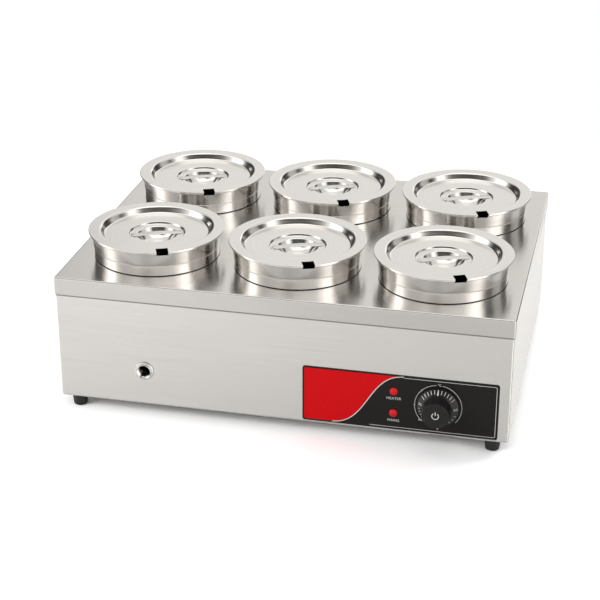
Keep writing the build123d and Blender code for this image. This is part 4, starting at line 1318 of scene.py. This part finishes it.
@dataclass
class ControlPanel:
    """The black and red plate with its printed dial, its lamps and its generic words."""

    centre: Point = (193.5, 71.0)
    width: float = 310.0
    height: float = 96.0
    corner: float = 4.0
    back: float = -277.5
    face: float = -278.5
    print_thickness: float = 0.05
    dial: Point = (254.5, 71.0)
    ring_radius: float = 37.1
    ring_width: float = 0.7
    lamp_x: float = 184.5
    lamp_heights: tuple[float, float] = (90.0, 52.0)
    holder: float = 5.0
    shaft_hole: float = 5.0
    screw_hole: float = 2.2
    screw_reach: float = 14.0
    lens_radius: float = 6.5
    lens_lip: float = 0.8
    lens_rise: float = 2.4
    lens_stem: float = 3.5
    lens_length: float = 10.0
    border: float = 2.9
    curve_width: float = 1.3
    line: float = 0.75
    line_inset: float = 1.2
    line_bend: float = 2.5
    swoop_top: Point = (200.0, 116.5)
    swoop_bottom: Point = (87.0, 26.0)
    swoop_pull: float = 57.0
    capital: float = 4.3
    lamp_words: tuple[tuple[str, str, float], ...] = (
        ("upper", "HEATER", 77.6), ("lower", "MAINS", 38.9))

    def _print(
        self, name: str, points: Sequence[Point], colour: str = "print_white", lift: float = 0.0
    ) -> None:
        """Lays one printed shape on the plate's face."""
        rim = [(0, self.face - self.print_thickness - lift), (0, self.face)]
        shape = plate(f"panel_{name}", counter_clockwise(points), rim, put=frontward)
        mount(shape, "chassis", "panel_black", look=colour)

    def _word(self, name: str, text: str, size: float, place: Point) -> None:
        """Prints a generic word or number on the plate."""
        word = letters(f"panel_{name}", text, size, self.print_thickness)
        mount(mapped(word, facing(place, self.face)), "chassis", "panel_black", look="print_white")

    def _swoop(self) -> list[Point]:
        """The curve between the red and the black field, from top to bottom."""
        (x0, z0), (x1, z1) = self.swoop_top, self.swoop_bottom
        return bezier(
            (x0, z0), (x0 - self.swoop_pull, z0), (x1 + self.swoop_pull, z1), (x1, z1), 40)

    def plate(self) -> None:
        """The plate with its holes for the lamps, the shaft and the screws."""
        holes = [Disc((self.lamp_x, z), self.holder, 40) for z in self.lamp_heights]
        holes.append(Disc(self.dial, self.shaft_hole, 40))
        for dx in (-self.screw_reach, self.screw_reach):
            holes.append(Disc((self.dial[0] + dx, self.dial[1]), self.screw_hole, 24))
        piece = plate(
            "control_panel_plate", RoundedBox(self.centre, self.width, self.height, self.corner),
            edge(self.face, self.back, 0.3), holes, edge(self.face, self.back, 0.15, 0.2), frontward
        )
        mount(piece, "chassis", "panel_black", "control_panel")

    def fields(self) -> None:
        """The red field, the white curve beside it and the thin line round the black field."""
        frame_box = RoundedBox(self.centre, self.width, self.height, self.corner)
        inner = frame_box.at(self.border)
        right, left = max(p[0] for p in inner), min(p[0] for p in inner)
        top, bottom = max(p[1] for p in inner), min(p[1] for p in inner)
        swoop = self._swoop()
        corner = self.corner - self.border + 1.2
        red = swoop + arc((left + corner, bottom + corner), corner, 270, 180, 6)
        red += arc((left + corner, top - corner), corner, 180, 90, 6)
        self._print("red_field", red, "print_red")
        self._print("curve_line", ribbon(swoop, self.curve_width), lift=0.02)
        inset, bend = self.line_inset, self.line_bend
        route = [(swoop[0][0], top - inset)]
        route += arc((right - inset - bend, top - inset - bend), bend, 90, 0, 8)
        route += arc((right - inset - bend, bottom + inset + bend), bend, 0, -90, 8)
        route += [(swoop[-1][0] + 60.0, bottom + inset)]
        self._print("border_line", ribbon(route, self.line))

    def dial_print(self) -> None:
        """The ring round the knob, its ticks and the degree sign."""
        r, gap = self.ring_radius, 6.0
        for name, start, end in (("left", 90 + gap, 228), ("right", 90 - gap - 3, -42)):
            self._print(f"ring_{name}", ribbon(arc(self.dial, r, start, end, 60), self.ring_width))
        strokes = Strokes(3, r, 135, 90, 3.2, 0.7, self.print_thickness)
        ticks = mapped(
            strokes.drawn("panel_ticks", finish("print_white")), facing(self.dial, self.face))
        mount(ticks, "chassis", "panel_black", look="print_white")
        self._word("degree_sign", "°C", 3.6, (self.dial[0] + 1.2, self.dial[1] + r + 0.3))
        for name, angle in (("low", 222), ("high", 270)):
            dx, dy = turned_by((r + 2.2, 0), angle)
            self._word(f"mark_{name}", "0", 3.2, (self.dial[0] + dx, self.dial[1] + dy))

    def words(self) -> None:
        """Generic words under the lamps."""
        for name, text, z in self.lamp_words:
            self._word(f"word_{name}", text, self.capital, (self.lamp_x, z))

    def lamps(self) -> None:
        """Two domed lenses on their stems."""
        for name, z in zip(("upper_lamp", "lower_lamp"), self.lamp_heights):
            wide, stem = self.lens_radius, self.lens_stem
            angles = (math.radians(90 * step / 12) for step in range(13))
            foot = self.face - self.lens_lip
            dome = [(wide * math.sin(a), foot - self.lens_rise * math.cos(a)) for a in angles]
            rear = self.face + self.lens_length
            behind = [dome[-1], (wide, self.face), (stem, self.face), (stem, rear), (0, rear)]
            section = dome + rounded(behind, (0.15, 0.1, 0.4), 3, 0.1)[1:]
            lens = turned(f"{name}_dome", section, (self.lamp_x, z), Axle.DEPTH, 64)
            mount(lens, "chassis", f"lamp_lens_{name.split('_')[0]}", f"{name}_lens")

    def build(self) -> None:
        """Builds and mounts the whole panel."""
        self.plate()
        self.fields()
        self.dial_print()
        self.words()
        self.lamps()


@dataclass
class Knob:
    """The knob: a flared dial skirt with printed numbers, and a round grip."""

    centre: Point = (254.5, 71.0)
    back: float = -279.5
    skirt: float = 32.5
    grip: float = 23.0
    cap: float = 21.0
    cone: float = 10.0
    height: float = 31.0
    lip: float = 2.0
    wall: float = 2.5
    hub: float = 6.0
    bore: float = 3.05
    ink: float = 0.06
    cap_ring: float = 2.6
    cap_sink: float = 0.35
    stem_wall: float = 9.0
    digit: float = 4.0
    numbers_at: float = 28.0
    numbers: tuple[tuple[str, float], ...] = (("30", 170), ("90", 2))
    # Name, then the count, radius, start, sweep, length and width of its strokes
    marks: tuple[tuple[Any, ...], ...] = (
        ("ticks", 11, 28.6, 145, -110, 5.2, 0.95), ("bars_left", 4, 29.4, 216, -30, 3.0, 0.8),
        ("bars_right", 4, 29.4, -22, -42, 3.0, 0.8))

    def _skirt_face(self, radius: float) -> float:
        """Depth of the skirt's cone at a radius."""
        share = (radius - self.grip) / (self.skirt - self.grip)
        return self.back - self.cone + share * (self.cone - self.lip)

    def _on_skirt(self, x: float, y: float, z: float) -> Spot:
        """Wraps a drawing of (x, y) about the knob's centre onto the skirt's cone."""
        radius = min(math.hypot(x, y), self.skirt - 0.6)
        return self.centre[0] + x, self._skirt_face(radius) - 0.02 - z, self.centre[1] + y

    def body(self) -> None:
        """The turned body, hollow behind."""
        front, r = self.back - self.height, self.skirt
        outer = rounded(
            [
                (0, front + self.cap_sink), (self.cap - self.cap_ring, front + self.cap_sink),
                (self.cap - self.cap_ring + 0.3, front), (self.cap, front),
                (self.grip, self.back - self.cone), (r, self.back - self.lip), (r, self.back),
                (r - self.wall, self.back),
                (self.grip - self.wall, self.back - self.cone + self.lip),
                (self.cap - self.wall, front + self.wall), (self.hub, front + self.wall),
                (self.hub, self.back - 1.0), (self.bore, self.back - 1.0),
                (self.bore, front + self.stem_wall), (0, front + self.stem_wall)],
            (0.15, 0.15, 1.3, 1.4, 0.5, 0.4, 0.4, 1.2, 1.0, 0.8, 0.3, 0.2, 0.3), steps=5,
            support=0.2)
        knob = turned("control_knob_body", outer, self.centre, Axle.DEPTH, 128)
        mount(knob, "knob", "knob_black", "control_knob")

    def _drawing(self, piece: bpy.types.Object) -> None:
        """Wraps a drawing onto the skirt and mounts it."""
        mount(mapped(piece, self._on_skirt), "knob", "knob_black", look="print_white")

    def scale(self) -> None:
        """Ticks, numbers, bars and the pointer on the skirt."""
        for name, *stroke in self.marks:
            strokes = Strokes(*stroke, self.ink)
            self._drawing(strokes.drawn(f"knob_{name}", finish("print_white")))
        for text, angle in self.numbers:
            digits = letters(f"knob_number_{text}", text, self.digit, self.ink)
            dx, dy = turned_by((self.numbers_at, 0), angle)
            for vertex in digits.data.vertices:
                vertex.co.x, vertex.co.y = vertex.co.x + dx, vertex.co.y + dy
            self._drawing(digits)
        tear = [(-0.5, 31.6), (-1.1, 27.5)] + arc((0, 25.6), 1.3, 180, 360, 8)
        tear += [(1.1, 27.5), (0.5, 31.6)]
        self._drawing(self._mark("pointer", Outline(tuple(tear))))

    def _mark(self, name: str, outline: Any) -> bpy.types.Object:
        """A printed shape in millimetres about the knob's centre, ready for mapping."""
        mark = plate(f"knob_{name}", outline, [(0, self.ink), (0, 0)])
        for vertex in mark.data.vertices:
            vertex.co /= MM
        return mark

    def sign(self) -> None:
        """The generic standby sign on the cap."""
        face = self.back - self.height + self.cap_sink
        ring = counter_clockwise(ribbon(arc((0, 0), 5.2, 125, 415, 40), 1.3))
        bar = counter_clockwise([(-0.65, 1.2), (0.65, 1.2), (0.65, 7.2), (-0.65, 7.2)])
        for name, outline in (("ring", ring), ("bar", bar)):
            mark = mapped(self._mark(f"sign_{name}", outline), facing(self.centre, face))
            mount(mark, "knob", "knob_black", look="print_white")

    def build(self) -> None:
        """Builds and mounts the knob and its print."""
        self.body()
        self.scale()
        self.sign()


@dataclass
class Drain:
    """The chromed drain outlet with its thread, and the rosette round it."""

    centre: Point = (-222.0, 79.4)
    mouth: float = -282.5
    bore: float = 9.5
    tube: float = 12.0
    pitch: float = 1.8
    thread_depth: float = 0.7
    thread_turns: int = 14
    shoulder: float = 15.5
    shoulder_faces: tuple[float, float] = (-250.0, -247.0)
    inner_end: float = -238.0
    rosette: float = 15.5
    rosette_sheet: float = 3.0
    case_front: float = -277.5

    def outlet(self) -> None:
        """The stub, cut with a thread that starts behind its mouth."""
        thread = [(self.bore + 1.5, self.mouth + 0.15), (self.bore + 0.5, self.mouth + 1.6)]
        for turn in range(self.thread_turns):
            start = self.mouth + 2.2 + turn * self.pitch
            thread += [
                (self.bore, start), (self.bore, start + 0.3),
                (self.bore + self.thread_depth, start + self.pitch / 2),
                (self.bore + self.thread_depth, start + self.pitch / 2 + 0.25)]
        thread += [(self.bore, self.mouth + 2.2 + self.thread_turns * self.pitch + 0.3)]
        front, rear = self.shoulder_faces
        outside = rounded(
            [
                (self.bore, self.inner_end), (self.tube, self.inner_end), (self.tube, rear),
                (self.shoulder, rear), (self.shoulder, front), (self.tube, front),
                (self.tube, self.mouth), (self.bore + 1.5, self.mouth)],
            (0.4, 0.2, 0.4, 0.4, 0.3, 0.6), steps=4, support=0.25)
        section = thread + outside[:-1] + [(self.bore + 1.8, self.mouth)]
        stub = turned("drain_outlet_stub", section, self.centre, Axle.DEPTH, 72, ring=True)
        mount(stub, "chassis", "drain_chrome", "drain_outlet")

    def ring(self) -> None:
        """The domed rosette on the case front."""
        face = self.case_front - self.rosette_sheet
        section = rounded(
            [
                (self.tube + 0.05, self.case_front - 0.6), (self.tube + 0.05, face),
                (self.rosette, face), (self.rosette, self.case_front),
                (self.tube + 0.05, self.case_front), (self.tube + 0.05, self.case_front - 0.6)],
            (0.6, 1.45, 0.15, 0.1), steps=8, support=0.1)
        piece = turned("drain_rosette_ring", section[:-1], self.centre, Axle.DEPTH, 96, ring=True)
        mount(piece, "chassis", "drain_chrome", "drain_rosette")

    def build(self) -> None:
        """Builds and mounts both pieces."""
        self.outlet()
        self.ring()


@dataclass
class Feet:
    """Four tapered rubber feet with a rounded tread and a pocket for the bolt."""

    height: float = 19.0
    top: float = 13.0
    tread: float = 11.0
    pocket: float = 6.0
    pocket_depth: float = 8.0
    bore: float = 2.7

    def build(self) -> None:
        """Builds and mounts the feet."""
        for place in ("front_left", "front_right", "rear_left", "rear_right"):
            x, y, _ = middle_of(f"foot_{place}")
            section = rounded(
                [
                    (self.bore, self.height - 0.5), (self.bore, self.pocket_depth),
                    (self.pocket, self.pocket_depth), (self.pocket, 0), (self.tread, 0),
                    (self.top - 0.5, self.height - 3.2), (self.top, self.height - 2.6),
                    (self.top, self.height), (self.bore, self.height),
                    (self.bore, self.height - 0.5)],
                (0.2, 0.5, 0.6, 2.2, 0.4, 0.5, 0.5, 0.2), steps=6, support=0.2)
            foot = turned(f"foot_{place}_moulded", section[:-1], (x, y), segments=64, ring=True)
            mount(foot, "chassis", "foot_rubber", f"foot_{place}")


@dataclass
class Back:
    """What shows at the back: pan-head screws with a cross recess, and the cable gland."""

    rear: float = 277.5
    head: float = 3.8
    head_height: float = 2.2
    shank: float = 2.0
    shank_length: float = 8.0
    gland: Point = (300.0, 51.4)
    rib_count: int = 18
    across_flats: float = 20.0
    collar: float = 5.0
    cap_length: float = 26.0
    cap_radius: float = 9.0
    bore: float = 4.5
    stem: float = 7.95
    stem_length: float = 11.2

    def screw_spots(self) -> list[Spot]:
        """The six screws' places, from the CAD node's own corners."""
        low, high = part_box("rear_panel_screws")
        left, right = low[0] / MM + self.head, high[0] / MM - self.head
        bottom, top = low[2] / MM + self.head, high[2] / MM - self.head
        row = [(left + (right - left) * step / 3, bottom) for step in range(4)]
        return [(x, self.rear, z) for x, z in row + [(left, top), (right, top)]]

    def screws(self) -> None:
        """One screw, copied to six places with a random turn."""
        head = rounded(
            [
                (0, self.head_height), (self.head * 0.55, self.head_height), (self.head, 0.9),
                (self.head, 0), (self.shank, 0), (self.shank, -self.shank_length + 0.8),
                (self.shank - 0.8, -self.shank_length), (0, -self.shank_length)],
            (1.6, 0.8, 0.1, 0.1, 0.2, 0.2), steps=5, support=0.0)
        screw = turned("screw", head, (0, 0), Axle.DEPTH, 40)
        for size in ((3.6, 2.4, 0.75), (0.75, 2.4, 3.6)):
            cut(screw, block("cross", (0, self.head_height, 0), size))
        screws = Repeat(Axle.DEPTH, 11).run(
            "rear_panel_screws_set", screw, self.screw_spots(), finish("zinc_steel"), math.pi / 2)
        mount(screws, "chassis", "zinc_steel", "rear_panel_screws")

    def cable_gland(self) -> None:
        """Hexagonal collar and a domed cap with grip ribs."""
        inner_end, mouth = self.rear - self.stem_length, self.rear + self.cap_length
        collar_face = self.rear + self.collar + 0.2
        hexagon = Outline(tuple(arc(self.gland, self.across_flats / math.sqrt(3), 0, 360, 6)[:-1]))
        collar = plate(
            "gland_collar", hexagon, edge(self.rear + self.collar, self.rear, 0.5),
            [Disc(self.gland, self.bore, 40)], [(0, self.rear + self.collar), (0, self.rear)],
            frontward)
        section = rounded(
            [
                (self.bore, inner_end), (self.bore, mouth - 1.0), (self.bore + 0.5, mouth),
                (6.4, mouth), (self.cap_radius, mouth - 10.0), (self.cap_radius, collar_face),
                (self.stem, collar_face), (self.stem, inner_end), (self.bore, inner_end)],
            (0.2, 0.3, 1.0, 2.4, 0.3, 0.1, 0.3), steps=6, support=0.2)
        cap = turned("gland_cap", section[:-1], self.gland, Axle.DEPTH, 72, ring=True)
        ribs = Strokes(
            self.rib_count, 8.9, 0, 360 - 360 / self.rib_count, 0.9, 1.1, 9.0
        ).drawn("gland_ribs", finish("gland_black"))
        mapped(ribs, lambda x, y, z: (self.gland[0] + x, self.rear + 6.0 + z, self.gland[1] + y))
        gland = joined("cable_gland_set", (collar, cap, ribs))
        mount(gland, "chassis", "gland_black", "cable_gland")

    def build(self) -> None:
        """Builds and mounts the screws and the gland."""
        self.screws()
        self.cable_gland()


@dataclass
class CarriedOver:
    """CAD nodes whose shape stays: each gets the finish of its own slot."""

    plain: str = "zinc_steel"  # for turned finishes, which need a turned piece's UV map

    def build(self) -> None:
        """Gives every shown CAD node its procedural material."""
        slots = {part["node"]: part["material_slot"] for part in frame["record"]["subparts"]}
        for name, node in frame["nodes"].items():
            turned_look = getattr(FINISHES[slots[name]], "grain", None) is Grain.TURNED
            for entry in node.material_slots:
                entry.material = finish(self.plain if turned_look else slots[name])
        log.info("%d CAD nodes dressed", len(frame["nodes"]))


# Studio


@dataclass
class Studio:
    """A white sweep, soft lamps and the camera of the photograph."""

    camera_at: tuple[float, float, float] = (0.53939, -2.49516, 1.27387)
    camera_tilt: float = 90 - 24.656
    camera_turn: float = 12.827
    lens: float = 97.58
    sensor: float = 36.0
    shift: float = 0.0008
    floor_reach: float = 9.0
    floor_fade: Point = (0.55, 1.3)
    floor_polish: float = 0.75
    low_band: tuple[Point, ...] = (
        (-180, 0.9), (-162, 0.9), (-155, 0.6), (-149, 0.04), (-110, 0.04), (-101, 0.3), (-91, 1.7),
        (-80, 2.6), (-69, 2.4), (-61, 1.1), (-50, 0.8), (-36, 1.0), (-22, 1.15), (-3, 0.85),
        (14, 1.15), (45, 1.3), (55, 2.0), (67, 2.6), (79, 2.0), (86, 0.3), (92, 0.03), (103, 0.03),
        (110, 0.5), (128, 0.6), (135, 0.1), (144, 0.04), (156, 0.04), (163, 1.1), (171, 1.3),
        (180, 0.9))
    high_band: tuple[Point, ...] = (
        (-180, 1.0), (-140, 0.9), (-110, 0.8), (-82, 1.6), (-60, 0.8), (-38, 0.06), (13, 0.04),
        (54, 0.06), (66, 0.8), (82, 1.6), (108, 0.8), (140, 0.8), (180, 1.0))
    zenith: float = 1.5
    rise: Point = (0.45, 0.62)
    crown: Point = (0.86, 0.95)

    def camera(self) -> None:
        """Sets the camera where the photograph was taken from."""
        data = bpy.data.cameras.new("camera")
        data.lens = self.lens
        data.sensor_width = self.sensor
        data.sensor_fit = "HORIZONTAL"
        data.shift_y = self.shift
        data.clip_end = 60.0
        camera = linked("camera", data)
        camera.location = self.camera_at
        camera.rotation_euler = (math.radians(self.camera_tilt), 0, math.radians(self.camera_turn))
        bpy.context.scene.camera = camera

    def lamp(self, name: str, place: Sequence[float], size: Point, power: float) -> None:
        """An area lamp that looks at the middle of the pots."""
        data = bpy.data.lights.new(name, "AREA")
        data.shape = "RECTANGLE"
        data.size, data.size_y = size
        data.energy = power
        lamp = linked(name, data)
        lamp.visible_glossy = False
        lamp.location = place
        aim = Vector((0, 0, 0.2)) - Vector(place)
        lamp.rotation_euler = aim.to_track_quat("-Z", "Y").to_euler()

    @staticmethod
    def warm(level: float) -> tuple[float, float, float, float]:
        """A barely warm white at half its level, which the backdrop's strength doubles."""
        return level / 2, level * 0.49, level * 0.475, 1

    def ring(self, wires: Wiring, share: Any, band: Sequence[Point]) -> bpy.types.NodeSocket:
        """Colours round the horizon, from (degrees from the front, brightness) stops."""
        stops = wires.add("ShaderNodeValToRGB", {0: share})
        ramp = stops.color_ramp
        ramp.interpolation = "EASE"
        while len(ramp.elements) < len(band):
            ramp.elements.new(0.5)
        for element, (degrees, level) in zip(ramp.elements, band):
            element.position = degrees / 360 + 0.5
            element.color = self.warm(level)
        return stops.outputs[0]

    def world(self) -> None:
        """White for the camera, a soft studio for reflections, plain light for the rest."""
        world = bpy.data.worlds.new("studio")
        world.use_nodes = True
        world.node_tree.nodes.clear()
        wires = Wiring(world.node_tree)
        ray = wires.add("ShaderNodeLightPath").outputs
        split = wires.split(wires.add("ShaderNodeTexCoord").outputs["Generated"])
        azimuth = wires.math("ARCTAN2", split[0], wires.math("MULTIPLY", split[1], -1.0))
        share = wires.math("MULTIPLY_ADD", azimuth, 1 / math.tau, 0.5)
        low, high = (self.ring(wires, share, band) for band in (self.low_band, self.high_band))
        rise = wires.remap(split[2], *self.rise, 0.0, 1.0)
        crown = wires.remap(split[2], *self.crown, 0.0, 1.0)
        around = wires.between(crown, wires.between(rise, low, high), self.warm(self.zenith))
        seen = wires.add("ShaderNodeBackground", {"Color": (1, 1, 1, 1), "Strength": 1.0})
        mirrored = wires.add("ShaderNodeBackground", {"Color": around, "Strength": 2.0})
        plain = wires.add("ShaderNodeBackground", {"Color": (1, 1, 1, 1), "Strength": 0.5})
        soft = wires.mixed(ray["Is Glossy Ray"], plain.outputs[0], mirrored.outputs[0])
        direct = wires.math("MAXIMUM", ray["Is Camera Ray"], ray["Is Transmission Ray"])
        sky = wires.mixed(direct, soft, seen.outputs[0])
        wires.add("ShaderNodeOutputWorld", {"Surface": sky})
        bpy.context.scene.world = world

    def floor(self) -> None:
        """A pale floor that keeps the shadow near the feet and fades to white."""
        tool = bmesh.new()
        reach = self.floor_reach / MM
        signs = ((-1, -1), (1, -1), (1, 1), (-1, 1))
        tool.faces.new([tool.verts.new((x * reach, y * reach, 0)) for x, y in signs])
        floor = finished("floor", tool)
        material, wires, shader = new_surface("pale_floor")
        base = {"Base Color": (0.84, 0.84, 0.84, 1), "Roughness": 0.9, "Specular IOR Level": 0.1}
        wires.feed(shader, base)
        ray = wires.add("ShaderNodeLightPath").outputs
        far = wires.add("ShaderNodeVectorMath", {0: wires.spot()}, operation="LENGTH")
        fade = wires.remap(far.outputs["Value"], *self.floor_fade, 0.0, 1.0)
        plain = shader.outputs[0]
        lift = wires.add("ShaderNodeBsdfDiffuse", {"Color": (0.5, 0.5, 0.5, 1)})
        near = wires.add("ShaderNodeAddShader", {0: plain, 1: lift.outputs[0]})
        white = wires.add("ShaderNodeEmission", {"Strength": 1.0})
        seen = wires.mixed(fade, near.outputs[0], white.outputs[0])
        gloss = {"Color": (0.95, 0.95, 0.95, 1), "Roughness": 0.12}
        polish = wires.add("ShaderNodeBsdfAnisotropic", gloss)
        table = wires.mixed(self.floor_polish, plain, polish.outputs[0])
        rest = wires.mixed(ray["Is Glossy Ray"], plain, table)
        direct = wires.math("MAXIMUM", ray["Is Camera Ray"], ray["Is Transmission Ray"])
        out = next(node for node in material.node_tree.nodes if node.type == "OUTPUT_MATERIAL")
        wires.feed(out, {"Surface": wires.mixed(direct, rest, seen)})
        floor.data.materials.append(material)

    def build(self) -> None:
        """Sets the whole studio up."""
        self.camera()
        self.world()
        self.floor()
        self.lamp("left_softbox", (-2.0, -1.6, 1.4), (1.3, 1.3), 42.0)
        self.lamp("right_softbox", (1.8, 1.2, 1.6), (1.2, 1.2), 30.0)
        self.lamp("top_softbox", (0.1, 0.2, 2.8), (2.2, 1.6), 12.0)
        bpy.context.scene.view_settings.view_transform = "Standard"


def main() -> None:
    """Builds the studio and every sub-assembly in order."""
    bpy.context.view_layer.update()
    Studio().build()
    CarriedOver().build()
    for assembly in (Cover(), Pots(), Lids(), ControlPanel(), Knob(), Drain(), Feet(), Back()):
        log.info("building %s", type(assembly).__name__)
        assembly.build()


if __name__ == "__main__":
    main()
